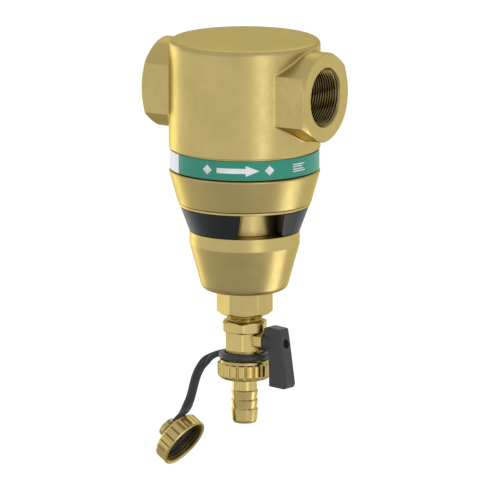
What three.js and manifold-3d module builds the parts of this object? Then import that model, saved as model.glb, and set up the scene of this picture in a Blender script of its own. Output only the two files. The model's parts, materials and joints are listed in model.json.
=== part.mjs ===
// Inline magnetic dirt separator for a heating circuit, in millimetres, +Z up.
//
// The origin is where the axis of the two pipe ports crosses the upright axis of the body.
// +X runs along the ports. Water passes through the upper housing, dirt sinks through the
// neck into the bowl, a two-jaw magnet clip holds the iron in the neck, and a ball valve
// with a hose tail drains the bowl. A rubber strap keeps the outlet's blanking cap.

import * as THREE from 'three';
import { mergeVertices } from 'three/addons/utils/BufferGeometryUtils.js';
import Module from 'manifold-3d';

const wasm = await Module();
wasm.setup();

// ---------------------------------------------------------------- driving dimensions

const GAP = 0.3; // between neighbouring pieces
const SEGMENTS = { large: 36, medium: 24, small: 16, fine: 12 };

// upper housing and its ports
const HOUSING_RADIUS = 43.7;
const HOUSING_TOP = 30.2;
const HOUSING_BOTTOM = -33.6;
const TOP_FILLET = 3;
const CHAMBER_RADIUS = 38;
const CHAMBER_TOP = 23.5;
const CHAMBER_FLOOR = -29;
const PORT_HALF_SPAN = 54;
const PORT_ACROSS_FLATS = 51;
const PORT_CORNER_RADIUS = 22;
const PORT_CHAMFER = 2.3;
const G1 = { major: 16.62, minor: 15.15, pitch: 2.309, turns: 7 };
const PORT_MOUTH_RADIUS = 17.5;
const BELT_RADIUS = 42.2;
const BELT_BOTTOM = -46;
const SPIGOT_RADIUS = 38.6;
const SPIGOT_BORE = 34.6;
const SPIGOT_END = -54.1;

// label band and cone-shaped lower housing
const BAND = { inner: 42.5, outer: 43.1, top: -34.5, bottom: -45.6 };
const CONE = { top: -46.3, bottom: -65.5, topRadius: 43.7, bottomRadius: 38.5, edge: 0.7 };
const CONE_LEDGE = -57;
const CONE_BORE = 34.3;

// sludge bowl
const BOWL_SPIGOT_TOP = -59.5;
const BOWL_SPIGOT_RADIUS = 34;
const LIP = { top: -65.8, bottom: -67.4, radius: 37.9 };
const NECK = { outer: 22.5, inner: 19.5, bottom: -82.3 };
const BOWL = { radius: 31.8, shoulder: -89.8, footRadius: 24.4, bottom: -117.2, edge: 4.5 };
const BOWL_WALL = 3.3;
const DRAIN_HOLE_RADIUS = 10.3;
const O_RING_GROOVE = { floor: 32.2, top: -60.8, bottom: -63.2 };

// coalescing cartridge
const CAGE = { radius: 33.9, plate: 1.8, top: 18, bottom: -57.4 };
const CAGE_TOP_RADIUS = 27;
const ROD_RADIUS = 3;
const FINS = { count: 16, outer: 28.5, inner: 19, wall: 1.2 };

// magnet clip, in its own turned frame: local +X points at the gap
const CLIP_TURN = THREE.MathUtils.degToRad(-42.5);
const CLIP = { top: -67.7, bottom: -82, inner: 22.9, topRadius: 37.3, bottomRadius: 32 };
// the gap between the jaws' front ends has parallel sides, this far from its middle
const CLIP_GAP_HALF = 13.1;
const CLIP_BACK = 168;
const POCKET = { from: 39, to: 158, top: -69.5, bottom: -80.4, outer: 29.4 };
const HINGE = { distance: 28, knuckle: 3.2, hole: 1.55, pin: 1.25, web: 2.4, webReach: 7.5 };
const KNUCKLE_SPLITS = [-71.9, -72.2, -76, -76.3];
const MAGNETS_PER_JAW = 3;

// drain adapter
const ADAPTER = { top: -117.5, bottom: -131.2, acrossFlats: 28.4, turned: 16.3, spigotTop: -106 };
const ADAPTER_CORNER = THREE.MathUtils.degToRad(-90);
const WASHER = { inner: 10.4, outer: 12.8, thickness: 1.3 };

// drain valve: its stem lies along local +X, turned a little from the port axis
const VALVE_TURN = THREE.MathUtils.degToRad(-7);
const STEM_HEIGHT = -146;
const HALF_INCH = { radius: 10.4, pitch: 1.814, depth: 1.1, turns: 3, top: -123 };
const LOCK_HEX = { top: -135.2, bottom: -141.8, acrossFlats: 24.4, turned: 13.4 };
const BODY_HEX = { top: -142.1, bottom: -152.4, acrossFlats: 20.5 };
const BALL_RADIUS = 6.5;
const BALL_BORE = 4;
const BALL_CHAMBER = 7.2;
const SEAT_REACH = 6.8;
const OUTLET = { neck: 10.9, thread: 13.1, threadTop: -158, end: -163 };
const BOSS = { start: 4, end: 15.8, startRadius: 4.7, endRadius: 5.7 };
const STEM = { radius: 2.45, end: 23.5, collar: 3.6, drive: 1.8 };

// lever handle, in the valve's frame
const HANDLE = { innerTop: 17.6, innerFoot: 20.6, outerTop: 28.3, outerFoot: 33.6, width: 9 };
const HANDLE_ABOVE = 9.3;
const HANDLE_BELOW = 26;
const HUB = { start: 16.1, end: 24, startRadius: 5.6, endRadius: 4.2 };
const SCREW = { hole: 2.75, head: 2.4, shank: 1.1, seat: 25.2, end: 18.5 };

// outlet: strap ring, union nut and hose tail
const STRAP_RING = { centre: 13.25, section: 1.85, height: -155.75 };
const NUT = { top: -158.2, bottom: -169.4, radius: 15.9, ribs: 20, thread: 13.4, hole: 7.9 };
const TAIL = { flange: 12.6, flangeTop: -165, neck: 6.9, ridge: 7.7, bore: 5, end: -195.5 };
const TAIL_RIDGES = [-176.8, -182.2, -187.5];

// strap: its route lies beside the valve axis, in a frame whose +X points away from it
const STRAP_TURN = THREE.MathUtils.degToRad(210);
const STRAP_SIDE = -7.2;
const STRAP_RADIUS = 1.75;
const STRAP_ROUTE = [
  [14.9, STRAP_SIDE, -156.6],
  [17.6, STRAP_SIDE, -157.5],
  [20.0, STRAP_SIDE, -158.8],
  [22.3, STRAP_SIDE, -160.7],
  [24.5, STRAP_SIDE, -163.1],
  [26.2, STRAP_SIDE, -165.8],
  [27.5, STRAP_SIDE, -168.6],
  [28.8, STRAP_SIDE, -172.4],
  [29.8, STRAP_SIDE, -176.8],
  [30.9, STRAP_SIDE, -181.5],
  [32.4, STRAP_SIDE, -186],
  [34.4, STRAP_SIDE, -190.2],
  [37.9, -7.9, -193.8],
  [39.8, -9.38, -197.34],
];

// blanking cap, in its own frame: local +Z runs from the open rim to the stud
const CAP_RIM = new THREE.Vector3(34.4, -7.2, -210.2);
const CAP_OPENING = new THREE.Vector3(-0.691, 0.447, -0.563).normalize();
const CAP = { radius: 15.6, depth: 9.9, wall: 2.2, thread: 13.3, ribs: 20 };
const CAP_STUD = { shank: 2.2, neck: 3.4, neckLength: 4.2, head: 5.9, headThickness: 3.5 };
const STRAP_LOOP = { inner: 3.8, outer: 6.8, thickness: 3 };

// ---------------------------------------------------------------- materials

const finish = (color, roughness, metalness) =>
  new THREE.MeshStandardMaterial({ color, roughness, metalness });

const SATIN_BRASS = finish(0xb8a56b, 0.42, 0.9);
const FITTING_BRASS = finish(0xc6b472, 0.3, 0.9);
const LABEL = finish(0x44957c, 0.45, 0);
const BLACK_PLASTIC = finish(0x2f2f2f, 0.5, 0);
const HANDLE_PLASTIC = finish(0x3a3a3a, 0.55, 0);
const RUBBER = finish(0x333536, 0.75, 0);
const STAINLESS = finish(0xb9bcbd, 0.35, 0.9);
const ZINC_STEEL = finish(0xa5a8aa, 0.4, 0.9);
const MAGNET = finish(0x8f9294, 0.3, 0.9);
const PTFE = finish(0xeeeeea, 0.5, 0);
const FIBRE = finish(0x8a4a35, 0.8, 0);

// ---------------------------------------------------------------- shape helpers

// a closed mesh with shared corners and its faces pointing out
function closed(geometry) {
  const bare = geometry.clone();
  bare.deleteAttribute('normal');
  bare.deleteAttribute('uv');
  const merged = mergeVertices(bare, 1e-4);
  const points = merged.attributes.position.array;
  const kept = [];
  let volume = 0;
  const corner = (i) => new THREE.Vector3().fromArray(points, 3 * i);
  for (let i = 0; i < merged.index.count; i += 3) {
    const [a, b, c] = [0, 1, 2].map((k) => merged.index.getX(i + k));
    if (a !== b && b !== c && c !== a) {
      kept.push([a, b, c]);
      volume += corner(a).dot(corner(b).cross(corner(c)));
    }
  }
  const ordered = volume > 0 ? kept : kept.map(([a, b, c]) => [a, c, b]);
  return { points: new Float32Array(points), faces: new Uint32Array(ordered.flat()) };
}

function solid(geometry) {
  const { points, faces } = closed(geometry);
  const mesh = new wasm.Mesh({ numProp: 3, vertProperties: points, triVerts: faces });
  return new wasm.Manifold(mesh);
}

function shown(manifold) {
  const mesh = manifold.getMesh();
  const geometry = new THREE.BufferGeometry();
  geometry.setAttribute('position', new THREE.BufferAttribute(mesh.vertProperties, 3));
  geometry.setIndex(new THREE.BufferAttribute(mesh.triVerts, 1));
  geometry.computeVertexNormals();
  return geometry;
}

function plain(geometry) {
  return shown(solid(geometry));
}

function cut(base, ...tools) {
  return tools.reduce((left, tool) => left.subtract(tool), base);
}

// a body of revolution about Z from points [radius, height]
function turned(profile, segments = SEGMENTS.medium) {
  const points = profile.map(([r, z]) => new THREE.Vector2(r, z));
  return new THREE.LatheGeometry(points, segments).rotateX(Math.PI / 2);
}

function ring(inner, outer, low, high, segments = SEGMENTS.medium) {
  const profile = [[inner, low], [outer, low], [outer, high], [inner, high], [inner, low]];
  return turned(profile, segments);
}

function disc(radius, low, high, segments = SEGMENTS.medium) {
  return turned([[0, low], [radius, low], [radius, high], [0, high]], segments);
}

// points of a round corner, from one angle to another in degrees
function arc(centreR, centreZ, radius, from, to, steps = 4) {
  return Array.from({ length: steps + 1 }, (_, i) => {
    const angle = THREE.MathUtils.degToRad(from + ((to - from) * i) / steps);
    return [centreR + radius * Math.cos(angle), centreZ + radius * Math.sin(angle)];
  });
}

function polygon(points) {
  return new THREE.Shape(points.map(([x, y]) => new THREE.Vector2(x, y)));
}

function raised(shape, low, high, curveSegments = 12) {
  const depth = high - low;
  const options = { depth, bevelEnabled: false, curveSegments };
  return new THREE.ExtrudeGeometry(shape, options).translate(0, 0, low);
}

// a regular prism about Z, its first corner turned away from +X
function prism(sides, acrossFlats, low, high, turn = 0) {
  const radius = acrossFlats / 2 / Math.cos(Math.PI / sides);
  const points = Array.from({ length: sides }, (_, i) => {
    const angle = turn + (2 * Math.PI * i) / sides;
    return [radius * Math.cos(angle), radius * Math.sin(angle)];
  });
  return raised(polygon(points), low, high);
}

function block(lowX, highX, lowY, highY, lowZ, highZ) {
  const box = new THREE.BoxGeometry(highX - lowX, highY - lowY, highZ - lowZ);
  return box.translate((lowX + highX) / 2, (lowY + highY) / 2, (lowZ + highZ) / 2);
}

// turns a shape made about Z so that it lies along X
function alongX(geometry) {
  return geometry.rotateY(Math.PI / 2);
}

// a wedge of the plane between two angles, in degrees, as a tool that is cut with
function wedge(from, to, low, high) {
  const reach = 60;
  const steps = Math.ceil(Math.abs(to - from) / 40);
  const rim = Array.from({ length: steps + 1 }, (_, i) => {
    const angle = THREE.MathUtils.degToRad(from + ((to - from) * i) / steps);
    return [reach * Math.cos(angle), reach * Math.sin(angle)];
  });
  return solid(raised(polygon([[0, 0], ...rim]), low, high));
}

// a toothed outline: flat ribs with narrow grooves between them
function ribbedOutline(count, outer, inner, grooveShare = 0.3) {
  const pitch = (2 * Math.PI) / count;
  const points = [];
  for (let i = 0; i < count; i += 1) {
    const start = i * pitch;
    const marks = [[0, outer], [1 - grooveShare, outer], [1 - grooveShare / 2, inner]];
    marks.forEach(([share, radius]) => {
      const angle = start + share * pitch;
      points.push([radius * Math.cos(angle), radius * Math.sin(angle)]);
    });
  }
  return polygon(points);
}

// ring grooves that stand for a thread, as the profile of its crests and roots
function threadProfile(crest, root, start, pitch, turns) {
  const points = [];
  for (let i = 0; i < turns; i += 1) {
    points.push([crest, start + pitch * i], [root, start + pitch * (i + 0.5)]);
  }
  points.push([crest, start + pitch * turns]);
  return points;
}

// ---------------------------------------------------------------- upper housing

function portOutline() {
  const half = PORT_ACROSS_FLATS / 2;
  const cornerZ = half * Math.tan(Math.PI / 6);
  const centre = (half - PORT_CORNER_RADIUS) / Math.sin(Math.PI / 3);
  const shape = new THREE.Shape();
  shape.moveTo(half, -cornerZ);
  shape.lineTo(half, cornerZ);
  shape.absarc(0, centre, PORT_CORNER_RADIUS, Math.PI / 3, (2 * Math.PI) / 3, false);
  shape.lineTo(-half, cornerZ);
  shape.lineTo(-half, -cornerZ);
  shape.absarc(0, -centre, PORT_CORNER_RADIUS, (4 * Math.PI) / 3, (5 * Math.PI) / 3, false);
  shape.lineTo(half, -cornerZ);
  return shape;
}

function ports() {
  const outline = raised(portOutline(), -PORT_HALF_SPAN, PORT_HALF_SPAN, 5);
  // the outline's first axis becomes Y and its second one Z
  const upright = outline.rotateZ(Math.PI / 2).rotateY(Math.PI / 2);
  const face = PORT_ACROSS_FLATS / 2;
  const corner = face / Math.cos(Math.PI / 6) + 0.5;
  const chamferEnd = PORT_HALF_SPAN - PORT_CHAMFER;
  const envelope = turned([
    [0, -PORT_HALF_SPAN],
    [face, -PORT_HALF_SPAN],
    [corner, -chamferEnd],
    [corner, chamferEnd],
    [face, PORT_HALF_SPAN],
    [0, PORT_HALF_SPAN],
  ], SEGMENTS.large);
  return solid(upright).intersect(solid(alongX(envelope)));
}

function portBore() {
  const threadLength = G1.pitch * G1.turns;
  const mouthDepth = PORT_MOUTH_RADIUS - G1.minor;
  const start = PORT_HALF_SPAN - mouthDepth - threadLength;
  const thread = threadProfile(G1.minor, G1.major, start, G1.pitch, G1.turns);
  const half = turned([
    [0, 0],
    [G1.minor, 0],
    ...thread,
    [PORT_MOUTH_RADIUS, PORT_HALF_SPAN],
    [PORT_MOUTH_RADIUS, PORT_HALF_SPAN + 1],
    [0, PORT_HALF_SPAN + 1],
  ], SEGMENTS.medium);
  return half;
}

function upperHousing() {
  const filletTop = HOUSING_TOP - TOP_FILLET;
  const outside = turned([
    [0, HOUSING_TOP],
    ...arc(HOUSING_RADIUS - TOP_FILLET, filletTop, TOP_FILLET, 90, 0, 4),
    [HOUSING_RADIUS, HOUSING_BOTTOM],
    [BELT_RADIUS, HOUSING_BOTTOM],
    [BELT_RADIUS, BELT_BOTTOM],
    [SPIGOT_RADIUS, BELT_BOTTOM],
    [SPIGOT_RADIUS, SPIGOT_END],
    [0, SPIGOT_END],
  ], SEGMENTS.large);
  const chamber = turned([
    [0, CHAMBER_TOP],
    [CHAMBER_RADIUS - 4, CHAMBER_TOP],
    [CHAMBER_RADIUS, CHAMBER_TOP - 4],
    [CHAMBER_RADIUS, CHAMBER_FLOOR],
    [SPIGOT_BORE, CHAMBER_FLOOR - 3],
    [SPIGOT_BORE, SPIGOT_END - 1],
    [0, SPIGOT_END - 1],
  ], SEGMENTS.medium);
  const right = solid(alongX(portBore()));
  const left = solid(alongX(portBore()).rotateZ(Math.PI));
  return shown(cut(solid(outside).add(ports()), solid(chamber), right, left));
}

function coneHousing() {
  return plain(turned([
    [CONE_BORE, CONE.bottom],
    [CONE.bottomRadius, CONE.bottom],
    [CONE.topRadius, CONE.top - CONE.edge],
    [CONE.topRadius - CONE.edge, CONE.top],
    [SPIGOT_RADIUS + GAP, CONE.top],
    [SPIGOT_RADIUS + GAP, CONE_LEDGE],
    [CONE_BORE, CONE_LEDGE],
    [CONE_BORE, CONE.bottom],
  ], SEGMENTS.large));
}

// ---------------------------------------------------------------- sludge bowl

function sludgeBowl() {
  const edgeCentre = BOWL.bottom + BOWL.edge;
  return plain(turned([
    [DRAIN_HOLE_RADIUS, BOWL.bottom],
    ...arc(BOWL.footRadius - BOWL.edge, edgeCentre, BOWL.edge, -90, -10, 4),
    [BOWL.radius, BOWL.shoulder],
    [BOWL.radius, NECK.bottom],
    [NECK.outer, NECK.bottom],
    [NECK.outer, LIP.bottom],
    [LIP.radius, LIP.bottom],
    [LIP.radius, LIP.top],
    [BOWL_SPIGOT_RADIUS, LIP.top],
    [BOWL_SPIGOT_RADIUS, O_RING_GROOVE.bottom],
    [O_RING_GROOVE.floor, O_RING_GROOVE.bottom],
    [O_RING_GROOVE.floor, O_RING_GROOVE.top],
    [BOWL_SPIGOT_RADIUS, O_RING_GROOVE.top],
    [BOWL_SPIGOT_RADIUS, BOWL_SPIGOT_TOP],
    [BOWL_SPIGOT_RADIUS - 3, BOWL_SPIGOT_TOP],
    [NECK.inner, LIP.bottom + 1],
    [NECK.inner, NECK.bottom],
    [BOWL.radius - BOWL_WALL, NECK.bottom - BOWL_WALL],
    [BOWL.radius - BOWL_WALL, BOWL.shoulder],
    [BOWL.footRadius - BOWL_WALL, BOWL.bottom + 4.5],
    [DRAIN_HOLE_RADIUS, BOWL.bottom + 4],
    [DRAIN_HOLE_RADIUS, BOWL.bottom],
  ], SEGMENTS.large));
}

// ---------------------------------------------------------------- coalescing cartridge

function spokedPlate(radius, low, high, spokes) {
  const outline = new THREE.Shape().absarc(0, 0, radius, 0, 2 * Math.PI, false);
  const rodHole = new THREE.Path().absarc(0, 0, ROD_RADIUS + GAP, 0, 2 * Math.PI, true);
  outline.holes.push(rodHole);
  const share = (2 * Math.PI) / spokes;
  for (let i = 0; i < spokes; i += 1) {
    const from = share * (i + 0.12);
    const to = share * (i + 0.88);
    const window = new THREE.Path();
    window.absarc(0, 0, radius - 3, from, to, false);
    window.absarc(0, 0, 8, to, from, true);
    window.closePath();
    outline.holes.push(window);
  }
  return plain(raised(outline, low, high, 5));
}

function finOutline(shrink) {
  const points = Array.from({ length: 2 * FINS.count }, (_, i) => {
    const radius = (i % 2 ? FINS.inner : FINS.outer) - shrink;
    const angle = (Math.PI * i) / FINS.count;
    return [radius * Math.cos(angle), radius * Math.sin(angle)];
  });
  return polygon(points);
}

function finPack() {
  const outline = finOutline(0);
  outline.holes.push(new THREE.Path(finOutline(2 * FINS.wall).getPoints().reverse()));
  return plain(raised(outline, CAGE.bottom + GAP, CAGE.top - GAP));
}

function cageRod() {
  const head = CAGE.top + CAGE.plate + GAP;
  return plain(turned([
    [0, CAGE.bottom - 7],
    [ROD_RADIUS, CAGE.bottom - 7],
    [ROD_RADIUS, head],
    [5.5, head],
    [5.5, head + 1.8],
    [0, head + 1.8],
  ], SEGMENTS.fine));
}

function cageNut() {
  const top = CAGE.bottom - CAGE.plate - GAP;
  const nut = solid(prism(6, 10, top - 3, top));
  return shown(cut(nut, solid(disc(ROD_RADIUS + GAP, top - 4, top + 1, SEGMENTS.fine))));
}

// ---------------------------------------------------------------- magnet clip

// side is +1 for the right-hand jaw, seen from the gap, and -1 for the left-hand one
function mirrored(side, from, to) {
  return side > 0 ? [from, to] : [-to, -from];
}

function sector(side, inner, outer, from, to, low, high) {
  const whole = solid(ring(inner, outer, low, high, SEGMENTS.large));
  return whole.intersect(wedge(...mirrored(side, from, to), low - 1, high + 1));
}

function clipShell(side) {
  const body = turned([
    [CLIP.inner, CLIP.bottom],
    [CLIP.bottomRadius, CLIP.bottom],
    [CLIP.topRadius, CLIP.top],
    [CLIP.inner, CLIP.top],
    [CLIP.inner, CLIP.bottom],
  ], SEGMENTS.large);
  const levels = [CLIP.bottom - 1, CLIP.top + 1];
  const half = solid(body).intersect(wedge(...mirrored(side, 1, CLIP_BACK), ...levels));
  const gap = block(0, CLIP.topRadius + 1, -CLIP_GAP_HALF, CLIP_GAP_HALF, ...levels);
  const { from, to, top, bottom, outer } = POCKET;
  const pocket = sector(side, CLIP.inner - 1, outer, from, to, bottom, top);
  return cut(half, solid(gap), pocket);
}

function knuckle(side, low, high) {
  const barrel = disc(HINGE.knuckle, low, high, SEGMENTS.fine).translate(-HINGE.distance, 0, 0);
  const [near, far] = side > 0 ? [0, HINGE.webReach] : [-HINGE.webReach, 0];
  const lowX = -HINGE.distance - HINGE.web;
  const web = block(lowX, lowX + 2 * HINGE.web, near, far, low, high);
  return solid(barrel).add(solid(web));
}

function clipJaw(side) {
  const [upperEnd, middleTop, middleEnd, lowerTop] = KNUCKLE_SPLITS;
  const levels = side > 0
    ? [[upperEnd, CLIP.top], [CLIP.bottom, lowerTop]]
    : [[middleEnd, middleTop]];
  const hole = disc(HINGE.hole, CLIP.bottom - 1, CLIP.top + 1, SEGMENTS.fine);
  const joined = levels.reduce(
    (jaw, [low, high]) => jaw.add(knuckle(side, low, high)),
    clipShell(side),
  );
  return shown(cut(joined, solid(hole.translate(-HINGE.distance, 0, 0))));
}

function clipPin() {
  const pin = disc(HINGE.pin, CLIP.bottom + 0.2, CLIP.top - 0.2, SEGMENTS.fine);
  return plain(pin.translate(-HINGE.distance, 0, 0));
}

const SLACK = 1; // degrees between a pocket's end and what lies in it

function clipCover(side) {
  const { from, to, top, bottom } = POCKET;
  const span = [from + SLACK, to - SLACK, bottom + GAP, top - GAP];
  return shown(sector(side, CLIP.inner, CLIP.inner + 1.1, ...span));
}

function clipYoke(side) {
  const { from, to, top, bottom, outer } = POCKET;
  const span = [from + SLACK, to - SLACK, bottom + GAP, top - GAP];
  return shown(sector(side, outer - GAP - 2, outer - GAP, ...span));
}

function clipMagnet(side, index) {
  const { from, to, top, bottom, outer } = POCKET;
  const share = (to - from - 2 * SLACK) / MAGNETS_PER_JAW;
  const start = from + SLACK + share * index;
  const radii = [CLIP.inner + 1.1 + GAP, outer - 2 - 2 * GAP];
  return shown(sector(side, ...radii, start + 2, start + share - 2, bottom + 0.7, top - 0.7));
}

// ---------------------------------------------------------------- drain adapter

const CHAMFER_SLOPE = Math.tan(Math.PI / 6);

// rounds a hexagon's corners to a turned radius, with a chamfer at either end
function turnedHexagon(acrossFlats, turnedRadius, low, high, turn, ends) {
  const face = acrossFlats / 2 - 0.3;
  const drop = (turnedRadius - face) * CHAMFER_SLOPE;
  const envelope = turned([
    [0, low],
    [ends.bottom ? face : turnedRadius, low],
    [turnedRadius, ends.bottom ? low + drop : low + 0.01],
    [turnedRadius, ends.top ? high - drop : high - 0.01],
    [ends.top ? face : turnedRadius, high],
    [0, high],
  ], SEGMENTS.medium);
  return solid(prism(6, acrossFlats, low, high, turn)).intersect(solid(envelope));
}

function drainAdapter() {
  const { top, bottom, acrossFlats, turned: radius, spigotTop } = ADAPTER;
  const hexagon = turnedHexagon(acrossFlats, radius, bottom, top, ADAPTER_CORNER, { bottom: true });
  const spigot = disc(10, top - 2, spigotTop, SEGMENTS.small);
  const recess = ring(10, WASHER.outer + GAP, top - WASHER.thickness - GAP, top + 1);
  const waterway = disc(6.5, bottom - 1, spigotTop + 1, SEGMENTS.small);
  const socket = disc(HALF_INCH.radius + 0.4, bottom - 1, bottom + 10, SEGMENTS.small);
  const blank = cut(hexagon, solid(recess)).add(solid(spigot));
  return shown(cut(blank, solid(waterway), solid(socket)));
}

// ---------------------------------------------------------------- drain valve

function valveInlet() {
  const hexagon = turnedHexagon(
    LOCK_HEX.acrossFlats,
    LOCK_HEX.turned,
    LOCK_HEX.bottom,
    LOCK_HEX.top,
    0,
    { top: true, bottom: true },
  );
  const { radius, pitch, depth, turns, top } = HALF_INCH;
  const start = LOCK_HEX.top + 0.5;
  const spigot = turned([
    [0, LOCK_HEX.top - 1],
    [radius - depth, LOCK_HEX.top - 1],
    ...threadProfile(radius - depth, radius, start, pitch, turns),
    [radius - depth, top],
    [0, top],
  ], SEGMENTS.small);
  const waterway = disc(BALL_BORE + 0.3, LOCK_HEX.bottom - 1, top + 1, SEGMENTS.fine);
  const seatPocket = disc(BALL_CHAMBER, LOCK_HEX.bottom - 1, -138.9, SEGMENTS.small);
  return shown(cut(hexagon.add(solid(spigot)), solid(waterway), solid(seatPocket)));
}

function valveBody() {
  const { neck, thread, threadTop, end } = OUTLET;
  const pitch = HALF_INCH.pitch;
  const turns = 2;
  const hexagon = prism(6, BODY_HEX.acrossFlats, BODY_HEX.bottom, BODY_HEX.top);
  const outlet = turned([
    [0, BODY_HEX.bottom + 1],
    [neck, BODY_HEX.bottom + 1],
    [neck, threadTop],
    ...threadProfile(thread - 1.1, thread, end, pitch, turns).reverse(),
    [0, end],
  ], SEGMENTS.medium);
  const boss = turned([
    [0, BOSS.start],
    [BOSS.startRadius, BOSS.start],
    [BOSS.endRadius, BOSS.end],
    [0, BOSS.end],
  ], SEGMENTS.small);
  const stemWay = turned([
    [0, 0],
    [STEM.collar + GAP, 0],
    [STEM.collar + GAP, 8.6],
    [STEM.radius + GAP, 8.6],
    [STEM.radius + GAP, 12],
    [STEM.radius + 1.2, 12],
    [STEM.radius + 1.2, 14],
    [STEM.radius + GAP, 14],
    [STEM.radius + GAP, BOSS.end + 1],
    [0, BOSS.end + 1],
  ], SEGMENTS.fine);
  const chamber = disc(BALL_CHAMBER, -153.1, BODY_HEX.top + 1, SEGMENTS.small);
  const waterway = disc(BALL_BORE + 0.3, end - 1, BODY_HEX.top, SEGMENTS.fine);
  const lockClearance = disc(LOCK_HEX.turned + GAP, BODY_HEX.top, BODY_HEX.top + 9);
  const lift = (geometry) => solid(alongX(geometry).translate(0, 0, STEM_HEIGHT));
  const flare = cut(lift(boss), solid(lockClearance));
  const blank = solid(hexagon).add(solid(outlet)).add(flare);
  return shown(cut(blank, solid(chamber), solid(waterway), lift(stemWay)));
}

function ball() {
  const sphere = new THREE.SphereGeometry(BALL_RADIUS, 24, 14).rotateX(Math.PI / 2);
  const bore = disc(BALL_BORE, -10, 10, SEGMENTS.fine);
  const slot = block(5.1, 8, -8, 8, -1.05, 1.05);
  const whole = cut(solid(sphere), solid(bore), solid(slot));
  return shown(whole).translate(0, 0, STEM_HEIGHT);
}

// side is +1 above the ball and -1 below it; the face follows the ball
function seat(side) {
  const faceHeight = (radius) => Math.sqrt(SEAT_REACH ** 2 - radius ** 2);
  const profile = [
    [4.3, faceHeight(4.3)],
    [5.7, faceHeight(5.7)],
    [6.9, faceHeight(5.7)],
    [6.9, 6.8],
    [4.3, 6.8],
    [4.3, faceHeight(4.3)],
  ];
  const placed = profile.map(([r, z]) => [r, STEM_HEIGHT + side * z]);
  return plain(turned(placed, SEGMENTS.small));
}

function stem() {
  const shaft = turned([
    [0, 6.8],
    [STEM.collar, 6.8],
    [STEM.collar, 8.3],
    [STEM.radius, 8.3],
    [STEM.radius, 16.5],
    [0, 16.5],
  ], SEGMENTS.fine);
  const drive = block(16, STEM.end, -STEM.drive, STEM.drive, -STEM.drive, STEM.drive);
  const tang = block(5.4, 7.5, -3.2, 3.2, -0.75, 0.75);
  const tapping = disc(SCREW.shank + GAP, SCREW.end - GAP, STEM.end + 1, 12);
  const whole = solid(alongX(shaft)).add(solid(drive)).add(solid(tang));
  return shown(cut(whole, solid(alongX(tapping)))).translate(0, 0, STEM_HEIGHT);
}

function stemSeal() {
  const seal = ring(STEM.radius + GAP, STEM.radius + 0.9, 12.3, 13.7, SEGMENTS.fine);
  return plain(alongX(seal)).translate(0, 0, STEM_HEIGHT);
}

function leverHandle() {
  const { innerTop, innerFoot, outerTop, outerFoot, width } = HANDLE;
  const outline = polygon([
    [innerTop, HANDLE_ABOVE - 0.6],
    [innerTop + 1.6, HANDLE_ABOVE],
    [outerTop - 1.6, HANDLE_ABOVE],
    [outerTop, HANDLE_ABOVE - 1.6],
    [outerFoot, 2 - HANDLE_BELOW],
    [outerFoot - 2, -HANDLE_BELOW],
    [innerFoot, 0.4 - HANDLE_BELOW],
  ]);
  const blade = raised(outline, -width / 2, width / 2).rotateX(Math.PI / 2);
  const hub = turned([
    [0, HUB.start],
    [HUB.startRadius, HUB.start],
    [HUB.endRadius, HUB.end],
    [0, HUB.end],
  ], SEGMENTS.small);
  const side = STEM.drive + GAP;
  const drive = block(HUB.start - 1, STEM.end + GAP, -side, side, -side, side);
  const mouth = disc(STEM.radius + GAP, HUB.start - 1, 16.9, SEGMENTS.fine);
  const through = disc(SCREW.shank + GAP, STEM.end, SCREW.seat + 1, 12);
  const counterbore = disc(SCREW.hole, SCREW.seat, outerFoot + 3, SEGMENTS.fine);
  const tools = [drive, alongX(mouth), alongX(through), alongX(counterbore)].map(solid);
  const blank = solid(blade).add(solid(alongX(hub)));
  return shown(cut(blank, ...tools)).translate(0, 0, STEM_HEIGHT);
}

function handleScrew() {
  const top = SCREW.seat + GAP + 2;
  const body = turned([
    [0, SCREW.end],
    [SCREW.shank, SCREW.end],
    [SCREW.shank, SCREW.seat + GAP],
    [SCREW.head, SCREW.seat + GAP],
    [SCREW.head, top],
    [0, top],
  ], SEGMENTS.fine);
  const socket = alongX(prism(6, 1.8, top - 1.2, top + 1));
  return shown(cut(solid(alongX(body)), solid(socket))).translate(0, 0, STEM_HEIGHT);
}

// ---------------------------------------------------------------- outlet

function strapRing() {
  const { centre, section, height } = STRAP_RING;
  const circle = arc(centre, height, section, 0, 360, 8);
  circle[circle.length - 1] = circle[0];
  return plain(turned(circle, SEGMENTS.medium));
}

function unionNut() {
  const { top, bottom, radius, ribs, thread, hole } = NUT;
  const outline = raised(ribbedOutline(ribs, radius, radius - 0.9), bottom, top);
  const envelope = turned([
    [0, bottom],
    [radius - 2.2, bottom],
    [radius + 0.2, bottom + 2.4],
    [radius + 0.2, top - 1.6],
    [radius - 1.8, top],
    [0, top],
  ], SEGMENTS.medium);
  const inside = turned([
    [0, bottom - 1],
    [hole, bottom - 1],
    [hole, bottom + 2.4],
    [thread, bottom + 2.4],
    [thread, top + 1],
    [0, top + 1],
  ], SEGMENTS.medium);
  return shown(cut(solid(outline).intersect(solid(envelope)), solid(inside)));
}

function hoseTail() {
  const { flange, flangeTop, neck, ridge, bore, end } = TAIL;
  const ridges = TAIL_RIDGES.flatMap((height, i) => {
    const above = i ? 7.2 : neck;
    return [[above, height + 0.4], [ridge, height]];
  });
  return plain(turned([
    [bore, flangeTop],
    [flange, flangeTop],
    [flange, flangeTop - 1.7],
    [neck, flangeTop - 1.7],
    ...ridges,
    [7, end + 1.2],
    [6.4, end],
    [bore, end],
    [bore, flangeTop],
  ], SEGMENTS.small));
}

// ---------------------------------------------------------------- strap and cap

function capStrap() {
  const points = STRAP_ROUTE.map(([out, side, height]) => new THREE.Vector3(out, side, height));
  const path = new THREE.CatmullRomCurve3(points);
  const section = new THREE.Shape().absarc(0, 0, STRAP_RADIUS, 0, 2 * Math.PI, false);
  const options = { steps: 12, extrudePath: path, curveSegments: 4, bevelEnabled: false };
  return plain(new THREE.ExtrudeGeometry(section, options));
}

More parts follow.
